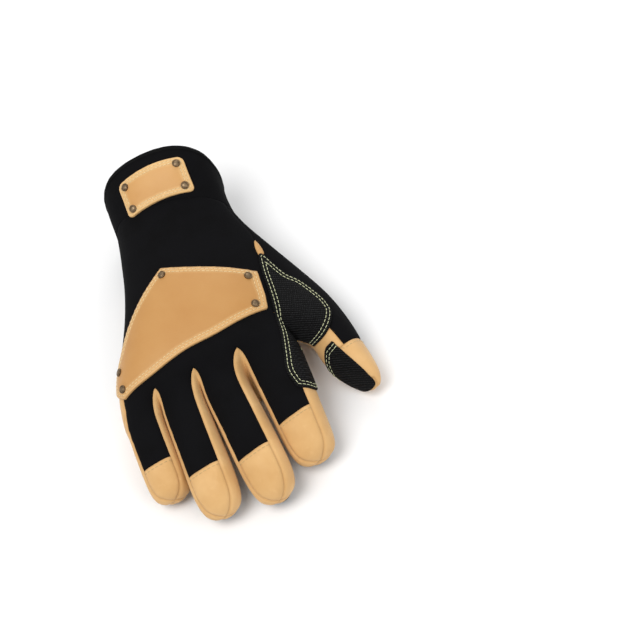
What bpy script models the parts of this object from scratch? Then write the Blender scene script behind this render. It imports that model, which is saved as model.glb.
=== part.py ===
"""An insulated work glove for the right hand, lying on its palm with the back of the hand up.

Metres, +Z up. The origin is on the flat of the palm that the glove rests on. +Y runs to the cuff,
-Y to the fingertips and +X to the thumb. One smooth hand form is drawn as a coarse cage, smoothed by
subdivision, and cut along its seams into sewn panels. Patches, pads and rivets lie on that form.
"""
import math
from collections import namedtuple

import bmesh
import bpy
from mathutils import Matrix, Vector
from mathutils.bvhtree import BVHTree
from mathutils.interpolate import poly_3d_calc

# Driving dimensions of the hand form, over the outside of the shell
CUFF_LENGTH = 0.025
CUFF_BREADTH = 0.083
CUFF_DEPTH = 0.070
HAND_LENGTH = 0.123
PALM_BREADTH = 0.114
PALM_DEPTH = 0.054
CROTCH_SLANT = 0.020
CROTCH_RISE = 0.004
HEEL_CURVE = 0.026
ORIGIN_SHARE = 0.146

# Fingers: length from the middle of the root to the tip, and the depth at the root
FINGER_LENGTH = 0.090
FINGER_DEPTH = 0.0275
THUMB_LENGTH = 0.106
THUMB_BREADTH = 0.0285
THUMB_DEPTH = 0.028
# Where the valley between hand and thumb ends, as shares of the hand, and how far and how often it is
# rounded out
VALLEY_PLACE = (1.132, 0.113, 0.48)
VALLEY_REACH = 0.016
VALLEY_ROUNDS = 4

# Materials
SHELL_WALL = 0.0032
SEAM_GAP = 0.0003
REST_GAP = 0.0003
REST_EASE = 0.010
GRIP_THICKNESS = 0.0012
LAID_DEPTH = 0.018
PATCH_THICKNESS = 0.0018
STRAP_THICKNESS = 0.0016
STRAP_BREADTH = 0.019
STRAP_PLACE = 0.006
LOOP_REACH = 0.022
LOOP_SWELL = 0.004
LOOP_TUCK = 0.014
HEEL_SET_BACK = 0.0024
TIP_REST_SHARE = 0.38
BINDING_REACH = 0.0018
BINDING_SECTION = ((0.0, 0.06), (1.0, 0.2), (1.0, 0.8), (0.0, 0.94))
# Where each patch's sheet stands on the hand or cuff, in shares of it, and which way it faces; outlines are
# shares of the patch's length
KNUCKLE_PLACE = (0.0, 0.268, 0.89)
KNUCKLE_FACING = (-0.28, -0.03, 0.96)
KNUCKLE_LENGTH = 0.104
KNUCKLE_OUTLINE = (
    (-0.042, 0.397), (0.490, 0.211), (0.498, 0.035), (0.490, -0.062), (0.203, -0.167), (-0.012, -0.212),
    (-0.249, -0.291), (-0.481, -0.351), (-0.545, -0.275), (-0.535, -0.170), (-0.450, -0.050),
    (-0.386, 0.050), (-0.317, 0.141), (-0.200, 0.264),
)
KNUCKLE_RIVETS = ((-0.038, 0.340), (0.448, 0.176), (0.446, -0.030), (-0.478, -0.160), (-0.474, -0.290))
CUFF_PATCH_PLACE = (0.10, 0.42, 0.86)
CUFF_PATCH_FACING = (-0.15, -0.35, 0.92)
CUFF_PATCH_LENGTH = 0.048
CUFF_PATCH_HEIGHT = 0.0245
CUFF_PATCH_CORNER = 0.0035
CUFF_PATCH_BOW = 0.003
CUFF_PATCH_TILT = 0.07
CUFF_RIVET_INSET = 0.0045
WEB_PLACE = (1.228, 0.227, 0.556)
WEB_FACING = (0.50, -0.25, 0.83)
WEB_LENGTH = 0.102
WEB_OUTLINE = (
    (-0.117, 0.418), (-0.080, 0.414), (-0.004, 0.254), (0.072, 0.175), (0.145, 0.035), (0.165, -0.039),
    (0.163, -0.094), (0.125, -0.176), (0.073, -0.245), (0.010, -0.275), (-0.029, -0.284), (-0.041, -0.412),
    (-0.045, -0.559), (-0.100, -0.578), (-0.216, -0.549), (-0.236, -0.431), (-0.211, -0.304),
    (-0.178, -0.160), (-0.160, -0.010), (-0.150, 0.140), (-0.141, 0.294),
)
GUSSET_OUTLINE = ((-0.094, 0.549), (-0.075, 0.490), (-0.073, 0.424), (-0.114, 0.426), (-0.112, 0.490))
PAD_LENGTH = 0.026
PAD_WIDTH_SHARE = 0.80
PAD_SET_BACK = 0.0225
PAD_TILT = 0.20
PAD_SIDES = 12
THUMB_PAD_LENGTH = 0.040
THUMB_PAD_SET_BACK = 0.001
THUMB_PAD_OUTLINE = (
    (0.21, 0.63), (0.08, 0.63), (-0.06, 0.52), (-0.16, 0.4), (-0.22, 0.22), (-0.22, 0), (-0.16, -0.18),
    (-0.04, -0.29), (0.09, -0.34), (0.18, -0.3), (0.235, -0.1), (0.25, 0.13), (0.24, 0.37),
)
RIVET_RADIUS = 0.0027
RIVET_HEIGHT = 0.0013
RIVET_SIDES = 8
RIVET_PROFILE = ((1.0, 0.0), (1.0, 0.55), (0.8, 0.9), (0.55, 0.5), (0.2, 0.95))
FORM_LEVEL = 1

# Colour, roughness and metalness
SOFT_BLACK = ((0.012, 0.012, 0.013), 0.85, 0.0)
GRIP_BLACK = ((0.018, 0.018, 0.019), 0.9, 0.0)
LEATHER = ((0.72, 0.47, 0.24), 0.6, 0.0)
PATCH_LEATHER = ((0.62, 0.36, 0.17), 0.55, 0.0)
BRASS = ((0.28, 0.20, 0.12), 0.4, 1.0)

# A ring of the hand form has this many back edges, and as many palm edges
BACK_EDGES = 8
RING = 2 * BACK_EDGES + 4
RIGHT_MID = BACK_EDGES + 1
LEFT_MID = RING - 1
FACE_SHARE = 0.90
MIDDLE_SHIFT = 0.10

CUFF, BACK, PALM, THUMB_BACK, THUMB_PALM = "cuff", "back_panel", "palm_panel", "thumb_back", "thumb_palm"

# station: share of the length from its far end; left, right: shares of half the breadth; top_left and
# top_right, side_left and side_right: heights as shares of the depth; round: how boxy the ring is;
# skew and lean: how much of the width and height turns into length; slant: share of CROTCH_SLANT that the
# palm side lies nearer to the fingertips; heel: share of HEEL_CURVE that the palm's middle stays back
Row = namedtuple(
    "Row", "station left right top_left top_right side_left side_right round skew lean slant heel"
)
CUFF_ROWS = (
    Row(1.00, -0.88, 1.14, 0.86, 1.20, 0.46, 0.56, 2.3, -0.13, 0.18, 0.0, 0.0),
    Row(0.50, -0.87, 1.13, 0.82, 1.12, 0.44, 0.54, 2.3, -0.15, 0.10, 0.0, 0.0),
    Row(0.00, -0.82, 1.20, 0.72, 0.90, 0.36, 0.43, 2.2, -0.17, 0.00, 0.2, 0.0),
)
HAND_ROWS = (
    Row(0.84, -0.62, 1.06, 0.98, 1.08, 0.42, 0.54, 2.3, -0.14, 0.0, 0.6, 1.0),
    Row(0.52, -0.68, 1.10, 0.95, 1.08, 0.39, 0.54, 2.4, -0.05, 0.0, 0.4, 0.5),
    Row(0.15, -0.99, 1.12, 0.86, 1.02, 0.34, 0.50, 2.5, 0.08, 0.0, 0.5, 0.0),
    Row(0.07, -1.00, 1.18, 0.82, 0.99, 0.33, 0.48, 2.5, 0.12, 0.0, 0.7, 0.0),
    Row(0.00, -1.01, 1.23, 0.79, 0.96, 0.32, 0.46, 2.5, 0.17, 0.0, 1.0, 0.0),
)
THUMB_ROOT_ROWS = (3, 5)
PINKY_WRAP_ROW = 5


def hand_place(across, along, up):
    """A place in shares of half the palm's breadth, of the length from the crotches, and of the depth."""
    return Vector((across * PALM_BREADTH / 2, (along - ORIGIN_SHARE) * HAND_LENGTH, up * PALM_DEPTH))


def cuff_place(across, along, up):
    """A place in shares of half the cuff's breadth, of its length from the wrist, and of its depth."""
    wrist = (1 - ORIGIN_SHARE) * HAND_LENGTH
    return Vector((across * CUFF_BREADTH / 2, wrist + along * CUFF_LENGTH, up * CUFF_DEPTH))


def heel_end():
    """Where the palm's leather ends at the heel and the strap begins."""
    return hand_place(0, HAND_ROWS[0].station, 0).y - HEEL_SET_BACK


def ring_shares():
    """Places across the ring, from -1 at the little finger's side to 1 at the thumb's."""
    return [FACE_SHARE * (2 * k / BACK_EDGES - 1) for k in range(BACK_EDGES + 1)]


def section(y, row, half_breadth, depth):
    """One closed ring: back from the left, right middle, palm from the right, left middle."""
    left, right = row.left * half_breadth, row.right * half_breadth
    centre, half = (left + right) / 2, (right - left) / 2
    bottom = -0.02 * depth
    slant = row.slant * CROTCH_SLANT

    def height(share, low, high):
        return depth * (low + (high - low) * (share + 1) / 2)

    def place(share, z, forward):
        x = centre + half * (share - MIDDLE_SHIFT * (1 - share * share))
        return Vector((x, y - forward + row.skew * (x - centre) + row.lean * (z - depth / 2), z))

    back, palm = [], []
    for share in ring_shares():
        side = height(share, row.side_left, row.side_right)
        top = height(share, row.top_left, row.top_right)
        fullness = (1 - abs(share) ** row.round) ** (1 / row.round)
        back.append(place(share, side + (top - side) * fullness, 0.0))
        heel = row.heel * HEEL_CURVE * (0.5 - share * share)
        palm.append(place(share, side + (bottom - side) * fullness, slant - heel))
    ends = [place(share, height(share, row.side_left, row.side_right), slant / 2) for share in (-1, 1)]
    return back + [ends[1]] + palm[::-1] + [ends[0]]


def hand_rings():
    cuff = [section(cuff_place(0, row.station, 0).y, row, CUFF_BREADTH / 2, CUFF_DEPTH) for row in CUFF_ROWS]
    hand = [section(hand_place(0, row.station, 0).y, row, PALM_BREADTH / 2, PALM_DEPTH) for row in HAND_ROWS]
    return cuff + hand


# length: share of FINGER_LENGTH; breadth: share of a quarter of PALM_BREADTH; splay and roll in degrees;
# arch: how far the middle rises above the straight line, as a share of the length; flare: how much wider
# the thumb's side of the root is; cap: share of the length where the leather cap begins
Finger = namedtuple("Finger", "name length breadth splay roll arch flare cap")
FINGERS = (
    Finger("pinky", 0.64, 0.88, 7.2, 8.0, 0.06, 0.00, 0.58),
    Finger("ring", 0.96, 0.98, 6.5, 12.0, 0.08, 0.00, 0.64),
    Finger("middle", 1.03, 1.02, 10.5, 14.0, 0.08, 0.00, 0.64),
    Finger("index", 0.86, 1.02, 10.5, 14.0, 0.08, 0.45, 0.58),
)
# station along the finger, and the shares of its full breadth and depth there; the cap's row is moved to
# where the finger's own cap begins
FINGER_ROWS = (
    (0.08, 0.93, 1.06),
    (0.24, 0.96, 1.00),
    (0.42, 0.98, 0.97),
    (0.60, 1.00, 0.95),
    (0.77, 1.00, 0.90),
    (0.91, 0.87, 0.74),
)
CAP_ROW = 4
# station along the thumb, the heading of the way there and of the ring itself in degrees from +X, the shares
# of breadth and depth, and how far its inner side is rolled up, in degrees
THUMB_ROWS = (
    (0.259, -49.8, -21.0, 1.68, 1.12, -14.0),
    (0.400, -49.3, -34.5, 1.20, 1.08, -26.0),
    (0.529, -70.0, -54.0, 1.00, 1.04, -38.0),
    (0.655, -75.0, -66.0, 0.92, 1.00, -44.0),
    (0.815, -63.4, -70.0, 0.63, 0.84, -44.0),
    (0.924, -60.8, -66.0, 0.33, 0.56, -44.0),
    (1.000, -58.3, -66.0, 0.00, 0.00, 0.0),
)
THUMB_CAP_ROW = 4
# An eight-sided cage ring smooths to this share of its size
OCTAGON_SHRINK = 0.902
CORNER = 0.80
LEFT_CORNER = 0.92
LOW_CORNER = 0.60
ROOT_SPREAD = 0.14
CAP_DIP = 0.004


def mean(points):
    total = Vector((0.0, 0.0, 0.0))
    for point in points:
        total += point
    return total / len(points)


def digit_ring(centre, along, right, up, half_breadth, half_depth, slant, spread=1.0):
    """Eight points: back left, back, back right, right, palm right, palm, palm left, left."""
    wide, deep = half_breadth / OCTAGON_SHRINK, half_depth / OCTAGON_SHRINK
    corners = (
        (-LEFT_CORNER * spread, LOW_CORNER), (0, 1), (CORNER * spread, CORNER), (1, 0),
        (CORNER, -CORNER), (0, -1), (-CORNER, -CORNER), (-1, 0),
    )
    return [centre + right * (wide * a) + up * (deep * b) - along * (slant * b) for a, b in corners]


# A flat sheet facing a piece of the form, on which an outline is drawn
Sheet = namedtuple("Sheet", "origin right up normal")


def sheet_facing(origin, normal, right):
    across = (right - normal * right.dot(normal)).normalized()
    return Sheet(origin, across, normal.cross(across), normal)


def on_sheet(sheet, x, y):
    return sheet.origin + sheet.right * x + sheet.up * y


class Cage:
    """The coarse hand form: points, faces and the panel that each face belongs to."""

    def __init__(self):
        self.points = []
        self.faces = []
        self.panels = []
        self.sheets = {}

    def add(self, points):
        start = len(self.points)
        self.points += points
        return list(range(start, len(self.points)))

    def face(self, corners, panel, turned):
        self.faces.append(corners[::-1] if turned else corners)
        self.panels.append(panel)

    def join(self, near, far, panels, skip=(), turned=False):
        """Faces between two rings of equal count; near is the ring further from the fingertips."""
        count = len(near)
        for k in range(count):
            if k not in skip:
                after = (k + 1) % count
                self.face((near[k], far[k], far[after], near[after]), panels[k], turned)

    def cap(self, ring, tip, panels, turned=False):
        """Closes an eight-point ring with four faces round the tip point."""
        centre = self.add([tip])[0]
        for quarter, panel in zip(range(4), panels):
            k = 2 * quarter
            self.face((ring[k], centre, ring[(k + 2) % 8], ring[k + 1]), panel, turned)


def hand_panels(band):
    """The panel of each face between rings band and band + 1, in ring order."""
    if band < 2:
        return [CUFF] * RING
    back = [BACK] * BACK_EDGES
    radial = [THUMB_BACK, THUMB_BACK] if band < THUMB_ROOT_ROWS[0] else [BACK, PALM]
    palm = [CUFF if band < THUMB_ROOT_ROWS[0] else PALM] * BACK_EDGES
    ulnar = [BACK, BACK] if band < PINKY_WRAP_ROW else [PALM, PALM]
    return back + radial + palm + ulnar


def add_finger(cage, finger, ring, sides):
    """One finger from its eight root points. sides: the panels of its right and left walls."""
    base = mean([cage.points[k] for k in ring])
    length = FINGER_LENGTH * finger.length
    half_depth = FINGER_DEPTH / 2
    heading = math.radians(finger.splay)
    along = Vector((math.sin(heading), -math.cos(heading), 0))
    across = Vector((math.cos(heading), math.sin(heading), 0))
    tip_height = half_depth * FINGER_ROWS[-1][2] + GRIP_THICKNESS + REST_GAP
    near = ring
    for number, (station, breadth, depth) in enumerate(FINGER_ROWS):
        if number == CAP_ROW - 1:
            station = finger.cap
        flare = finger.flare * (1 - station) ** 2
        half_breadth = PALM_BREADTH / 8 * finger.breadth * breadth
        centre = base + along * (length * station) + across * (half_breadth * flare / 2)
        centre.z = base.z + (tip_height - base.z) * station + 4 * station * (1 - station) * finger.arch * length
        roll = Matrix.Rotation(math.radians(finger.roll), 3, along)
        slant = CROTCH_SLANT / 2 * max(0.0, 1 - 2.2 * station)
        spread = 1 + ROOT_SPREAD * max(0.0, 1 - 2.2 * station)
        points = digit_ring(
            centre, along, roll @ across, roll @ Vector((0, 0, 1)),
            half_breadth * (1 + flare / 2), half_depth * depth, slant, spread
        )
        if number == CAP_ROW - 1:
            points[1] += along * CAP_DIP
        far = cage.add(points)
        back = BACK if number < CAP_ROW else finger.name + "_cap"
        cage.join(near, far, [back, back, sides[0], sides[0], PALM, PALM, sides[1], sides[1]])
        near = far
    tip = base + along * length
    tip.z = tip_height
    down = (along * PAD_TILT - roll @ Vector((0, 0, 1))).normalized()
    cage.sheets[finger.name] = sheet_facing(tip - along * PAD_SET_BACK, down, across)
    cap = finger.name + "_cap"
    cage.cap(near, tip, [cap, sides[0], PALM, sides[1]])


def add_thumb(cage, ring):
    """The thumb from its eight root points, bending towards the fingers and down to the floor."""
    place = mean([cage.points[k] for k in ring])
    root_height = place.z
    tip_height = THUMB_DEPTH / 2 * THUMB_ROWS[-2][4] + GRIP_THICKNESS + REST_GAP
    near = ring
    last = 0.0
    for number, (station, heading, facing, breadth, depth, roll) in enumerate(THUMB_ROWS):
        angle = math.radians(heading)
        level = Vector((math.cos(angle), math.sin(angle), 0))
        place = place + level * (THUMB_LENGTH * (station - last))
        level = Vector((math.cos(math.radians(facing)), math.sin(math.radians(facing)), 0))
        place.z = root_height + (tip_height - root_height) * station
        last = station
        if not breadth:
            break
        along = Vector((level.x, level.y, (tip_height - root_height) / THUMB_LENGTH)).normalized()
        inward = Matrix.Rotation(math.radians(roll), 3, along) @ Vector((level.y, -level.x, 0))
        up = along.cross(inward)
        up = -up if up.z < 0 else up
        points = digit_ring(place, along, inward, up, THUMB_BREADTH / 2 * breadth, THUMB_DEPTH / 2 * depth, 0.0)
        if number == THUMB_CAP_ROW:
            facing = (inward - up * 0.7 + along * 0.35).normalized()
            cage.sheets["thumb"] = sheet_facing(place - along * THUMB_PAD_SET_BACK, facing, up)
        far = cage.add(points)
        back = THUMB_BACK if number < THUMB_CAP_ROW else "thumb_cap"
        inner = THUMB_PALM if number < THUMB_CAP_ROW else "thumb_cap"
        panels = [back, back, inner, THUMB_PALM, THUMB_PALM, THUMB_PALM, back, back]
        cage.join(near, far, panels, turned=True)
        near = far
    cage.cap(near, place, ["thumb_cap", THUMB_PALM, THUMB_PALM, "thumb_cap"], turned=True)


def hand_cage():
    cage = Cage()
    rings = [cage.add(points) for points in hand_rings()]
    for band in range(len(rings) - 1):
        in_root = THUMB_ROOT_ROWS[0] <= band < THUMB_ROOT_ROWS[1]
        skip = (BACK_EDGES, BACK_EDGES + 1) if in_root else ()
        cage.join(rings[band], rings[band + 1], hand_panels(band), skip)
    last = rings[-1]
    base_back = [last[k] for k in range(BACK_EDGES + 1)]
    base_palm = [last[RING - 2 - k] for k in range(BACK_EDGES + 1)]
    walls = [last[LEFT_MID]]
    for k in range(2, BACK_EDGES, 2):
        cage.points[base_back[k]].y += CROTCH_RISE
        back, palm = cage.points[base_back[k]], cage.points[base_palm[k]]
        walls += cage.add([back.lerp(palm, 0.5)])
    walls.append(last[RIGHT_MID])
    names = ["pinky_side", "fourchette_ring_pinky", "fourchette_middle_ring", "fourchette_index_middle", "index_side"]
    for number, finger in enumerate(FINGERS):
        k = 2 * number
        ring = [
            base_back[k], base_back[k + 1], base_back[k + 2], walls[number + 1],
            base_palm[k + 2], base_palm[k + 1], base_palm[k], walls[number],
        ]
        add_finger(cage, finger, ring, (names[number + 1], names[number]))
    first, middle, end = (rings[k] for k in range(THUMB_ROOT_ROWS[0], THUMB_ROOT_ROWS[1] + 1))
    corner, side, under = BACK_EDGES, RIGHT_MID, RIGHT_MID + 1
    add_thumb(cage, [
        first[corner], middle[corner], end[corner], end[side],
        end[under], middle[under], first[under], first[side],
    ])
    return cage


def floor_height(place):
    """How low the form may hang: the palm lies on the floor, the cuff on its strap, the fingers on their pads."""
    strap = STRAP_THICKNESS + REST_GAP
    pad = GRIP_THICKNESS + REST_GAP
    tips = hand_place(0, 0, 0).y - TIP_REST_SHARE * FINGER_LENGTH
    to_cuff = min(max((place.y - heel_end()) / REST_EASE + 1.2, 0.0), 1.0)
    to_tips = min(max((tips - place.y) / REST_EASE, 0.0), 1.0)
    return max(strap * to_cuff, pad * to_tips)


def hand_form(level):
    """The smooth outside of the hand as a bmesh, with each face's panel in its material index."""
    cage = hand_cage()
    names = sorted(set(cage.panels))
    mesh = bpy.data.meshes.new("hand_form")
    mesh.from_pydata(cage.points, [], cage.faces)
    for polygon, panel in zip(mesh.polygons, cage.panels):
        polygon.material_index = names.index(panel)
    holder = bpy.data.objects.new("hand_form", mesh)
    bpy.context.scene.collection.objects.link(holder)
    smooth = holder.modifiers.new("smooth", "SUBSURF")
    smooth.levels = smooth.render_levels = level
    bpy.context.view_layer.update()
    form = bmesh.new()
    form.from_object(holder, bpy.context.evaluated_depsgraph_get())
    bpy.data.objects.remove(holder)
    middle = hand_place(*VALLEY_PLACE)
    valley = [vert for vert in form.verts if (vert.co - middle).length < VALLEY_REACH]
    for _ in range(VALLEY_ROUNDS):
        bmesh.ops.smooth_vert(form, verts=valley, factor=0.5, use_axis_x=True, use_axis_y=True, use_axis_z=True)
    for vert in form.verts:
        vert.co.z = max(vert.co.z, floor_height(vert.co))
    bmesh.ops.triangulate(form, faces=form.faces)
    form.normal_update()
    form.verts.index_update()
    return form, names, cage.sheets


def finish(name, mesh_data, look, smooth=True):
    """Makes the named object with its own plain material."""
    mesh = bpy.data.meshes.new(name)
    mesh_data.normal_update()
    mesh_data.to_mesh(mesh)
    mesh_data.free()
    for polygon in mesh.polygons:
        polygon.use_smooth = smooth
        polygon.material_index = 0
    item = bpy.data.objects.new(name, mesh)
    bpy.context.scene.collection.objects.link(item)
    colour, roughness, metallic = look
    material = bpy.data.materials.new(name)
    material.use_nodes = True
    shader = material.node_tree.nodes["Principled BSDF"]
    shader.inputs["Base Color"].default_value = (*colour, 1.0)
    shader.inputs["Roughness"].default_value = roughness
    shader.inputs["Metallic"].default_value = metallic
    mesh.materials.append(material)
    return item


def edge_inset(points, triangles, normals, fixed):
    """For each border point, the way into the piece along its surface."""
    seen = {}
    for corners in triangles:
        for a, b in zip(corners, corners[1:] + corners[:1]):
            seen.setdefault(frozenset((a, b)), []).append((a, b))
    ways = {}
    border = [pairs[0] for pairs in seen.values() if len(pairs) == 1]
    for a, b in border:
        if a in fixed and b in fixed:
            continue
        for k in (a, b):
            inward = normals[k].cross(points[b] - points[a]).normalized()
            ways.setdefault(k, []).append(inward)
    insets = {}
    for k, inwards in ways.items():
        way = mean(inwards)
        reach = max(way.dot(inwards[0]) / max(way.length, 1e-9), 0.5)
        insets[k] = way.normalized() / reach
    return insets, border


def layered(points, normals, triangles, border, low, high, keys):
    """A closed solid between two offsets of one surface. keys say which way its border faces are split."""
    solid = bmesh.new()
    under = [solid.verts.new(point + normal * low) for point, normal in zip(points, normals)]
    over = [solid.verts.new(point + normal * high) for point, normal in zip(points, normals)]
    for corners in triangles:
        solid.faces.new([over[k] for k in corners])
        solid.faces.new([under[k] for k in reversed(corners)])
    for a, b in border:
        if keys[a] < keys[b]:
            solid.faces.new((over[b], over[a], under[b]))
            solid.faces.new((over[a], under[a], under[b]))
        else:
            solid.faces.new((over[b], over[a], under[a]))
            solid.faces.new((over[b], under[a], under[b]))
    return solid


def panel_shell(form, panel, wall):
    """One sewn panel: its faces of the form, drawn in from its seams, with the wall inside."""
    faces = [face for face in form.faces if face.material_index == panel]
    verts = sorted({vert for face in faces for vert in face.verts}, key=lambda vert: vert.index)
    number = {vert: k for k, vert in enumerate(verts)}
    points = [vert.co.copy() for vert in verts]
    normals = [vert.normal.copy() for vert in verts]
    triangles = [[number[vert] for vert in face.verts] for face in faces]
    fixed = {number[vert] for vert in verts if vert.is_boundary}
    insets, border = edge_inset(points, triangles, normals, fixed)
    for k, way in insets.items():
        points[k] = points[k] + way * (SEAM_GAP / 2)
    return layered(points, normals, triangles, border, -wall, 0.0, [vert.index for vert in verts])


def inside(outline, x, y):
    """Whether a place lies inside a closed outline."""
    crossings = 0
    for (ax, ay), (bx, by) in zip(outline, outline[1:] + outline[:1]):
        if (ay > y) != (by > y) and x < ax + (y - ay) / (by - ay) * (bx - ax):
            crossings += 1
    return crossings % 2 == 1


def reaches(face, sheet, start, end):
    """Whether a face, seen along the sheet's normal, comes near the straight line from start to end."""
    offsets = [vert.co - sheet.origin for vert in face.verts]
    for axis, way in enumerate((sheet.right, sheet.up)):
        low, high = sorted((start[axis], end[axis]))
        reach = [offset.dot(way) for offset in offsets]
        if max(reach) < low - 0.0005 or min(reach) > high + 0.0005:
            return False
    return True


def laid_on(form, sheet, outline, thickness):
    """A thin piece that follows the form inside an outline drawn on a sheet facing it."""
    piece = form.copy()
    reach = max(math.hypot(x, y) for x, y in outline) + LAID_DEPTH
    away = [
        face for face in piece.faces
        if face.normal.dot(sheet.normal) < 0.04
        or (face.calc_center_median() - sheet.origin).length > reach
        or abs((face.calc_center_median() - sheet.origin).dot(sheet.normal)) > reach / 2
    ]
    bmesh.ops.delete(piece, geom=away, context="FACES")
    for (ax, ay), (bx, by) in zip(outline, outline[1:] + outline[:1]):
        start, end = on_sheet(sheet, ax, ay), on_sheet(sheet, bx, by)
        faces = [face for face in piece.faces if reaches(face, sheet, (ax, ay), (bx, by))]
        edges = {edge for face in faces for edge in face.edges}
        verts = {vert for face in faces for vert in face.verts}
        bmesh.ops.bisect_plane(
            piece, geom=faces + list(edges) + list(verts), dist=0.00002,
            plane_co=start, plane_no=(end - start).cross(sheet.normal).normalized(),
        )
    outer = []
    for face in piece.faces:
        offset = face.calc_center_median() - sheet.origin
        if not inside(outline, offset.dot(sheet.right), offset.dot(sheet.up)):
            outer.append(face)
    bmesh.ops.delete(piece, geom=outer, context="FACES")
    bmesh.ops.triangulate(piece, faces=piece.faces)
    keep_largest(piece)
    piece.verts.index_update()
    points = [vert.co.copy() for vert in piece.verts]
    triangles = [[vert.index for vert in face.verts] for face in piece.faces]
    piece.free()
    normals = smooth_normals(form, points)
    border = edge_inset(points, triangles, normals, ())[1]
    return layered(points, normals, triangles, border, SEAM_GAP, SEAM_GAP + thickness, range(len(points)))


def smooth_normals(form, points):
    """The form's own normal at each point, blended across its faces."""
    form.faces.ensure_lookup_table()
    tree = BVHTree.FromBMesh(form)
    normals = []
    for point in points:
        _, _, number, _ = tree.find_nearest(point)
        verts = form.faces[number].verts
        weights = poly_3d_calc([vert.co for vert in verts], point)
        normal = Vector((0, 0, 0))
        for vert, weight in zip(verts, weights):
            normal += vert.normal * weight
        normals.append(normal.normalized())
    return normals


def keep_largest(piece):
    """Drops every island of faces but the largest."""
    left = set(piece.faces)
    islands = []
    while left:
        island, edge = set(), [left.pop()]
        while edge:
            face = edge.pop()
            island.add(face)
            for side in face.edges:
                for other in side.link_faces:
                    if other in left:
                        left.remove(other)
                        edge.append(other)
        islands.append(island)
    islands.sort(key=len)
    for island in islands[:-1]:
        bmesh.ops.delete(piece, geom=list(island), context="FACES")


def tree_of(item):
    return BVHTree.FromPolygons(
        [vert.co for vert in item.data.vertices], [polygon.vertices[:] for polygon in item.data.polygons]
    )


def add_rivets(name, patch, sheet, places):
    """Domed rivets with a raised ring, each standing on the patch."""
    tree = tree_of(patch)
    for count, (x, y) in enumerate(places, 1):
        start = on_sheet(sheet, x, y) + sheet.normal * 0.05
        place, normal, _, _ = tree.ray_cast(start, -sheet.normal)
        solid = bmesh.new()
        turn = normal.to_track_quat("Z", "Y").to_matrix()
        seat = 0.0
        for k in range(RIVET_SIDES):
            angle = 2 * math.pi * k / RIVET_SIDES
            spot = place + turn @ Vector((math.cos(angle), math.sin(angle), 0)) * RIVET_RADIUS
            below = tree.ray_cast(spot + normal * 0.01, -normal)[0]
            if below:
                seat = max(seat, (below - place).dot(normal))
        rings = []
        for radius, height in RIVET_PROFILE:
            ring = []
            for k in range(RIVET_SIDES):
                angle = 2 * math.pi * k / RIVET_SIDES
                spot = Vector((math.cos(angle), math.sin(angle), 0)) * (radius * RIVET_RADIUS)
                spot.z = seat + SEAM_GAP + height * RIVET_HEIGHT
                ring.append(solid.verts.new(place + turn @ spot))
            rings.append(ring)
        for low, high in zip(rings, rings[1:]):
            for k in range(RIVET_SIDES):
                after = (k + 1) % RIVET_SIDES
                solid.faces.new((low[k], low[after], high[after], high[k]))
        solid.faces.new(reversed(rings[0]))
        solid.faces.new(rings[-1])
        finish(name + "_" + str(count), solid, BRASS)


def add_binding(form):
    """The soft binding round the cuff's open end."""
    rim = [edge for edge in form.edges if edge.is_boundary]
    order = [rim[0].verts[0]]
    used = set()
    while len(used) < len(rim):
        for edge in order[-1].link_edges:
            if edge.is_boundary and edge not in used:
                used.add(edge)
                order.append(edge.other_vert(order[-1]))
                break
    order.pop()
    solid = bmesh.new()
    loops = []
    count = len(order)
    for k, vert in enumerate(order):
        onward = (order[(k + 1) % count].co - order[k - 1].co).normalized()
        out = onward.cross(vert.normal)
        out = -out if out.y < 0 else out
        loops.append([
            solid.verts.new(vert.co + out * (SEAM_GAP + end * BINDING_REACH) - vert.normal * (depth * SHELL_WALL))
            for end, depth in BINDING_SECTION
        ])
    size = len(BINDING_SECTION)
    for near, far in zip(loops, loops[1:] + loops[:1]):
        for k in range(size):
            after = (k + 1) % size
            solid.faces.new((near[k], near[after], far[after], far[k]))
    bmesh.ops.recalc_face_normals(solid, faces=solid.faces)
    finish("rim_binding", solid, SOFT_BLACK)


def add_strap(rim_end):
    """The pull strap: along the floor from the heel, out past the rim in a loop and back into the cuff."""
    low = STRAP_THICKNESS / 2
    high = STRAP_THICKNESS + REST_GAP + SHELL_WALL + REST_GAP + STRAP_THICKNESS / 2
    end = rim_end + LOOP_REACH
    swell = LOOP_SWELL
    path = [(heel_end() + 0.0006, low), (rim_end - 0.015, low), (rim_end, low), (end - 0.012, low)]
    middle = (low + high + swell) / 2
    radius = (high + swell - low) / 2
    for k in range(9):
        angle = math.pi * (k / 8 - 0.5)
        path.append((end - 0.008 + 0.007 * math.cos(angle), middle + radius * math.sin(angle)))
    path += [(end - 0.013, high + swell * 0.85), (rim_end + 0.003, high + swell * 0.15)]
    path += [(rim_end - 0.002, high), (rim_end - LOOP_TUCK, high)]
    solid = bmesh.new()
    rows = []
    for k, (y, z) in enumerate(path):
        before, after = path[max(k - 1, 0)], path[min(k + 1, len(path) - 1)]
        way = Vector((0, after[0] - before[0], after[1] - before[1])).normalized()
        out = Vector((0, way.z, -way.y)) * (STRAP_THICKNESS / 2)
        centre = Vector((STRAP_PLACE, y, z))
        side = Vector((STRAP_BREADTH / 2, 0, 0))
        rows.append([
            solid.verts.new(spot)
            for spot in (centre - side - out, centre + side - out, centre + side + out, centre - side + out)
        ])
    for near, far in zip(rows, rows[1:]):
        for k in range(4):
            after = (k + 1) % 4
            solid.faces.new((near[k], near[after], far[after], far[k]))
    solid.faces.new(reversed(rows[0]))
    solid.faces.new(rows[-1])
    bmesh.ops.recalc_face_normals(solid, faces=solid.faces)
    finish("pull_strap", solid, LEATHER)


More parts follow.
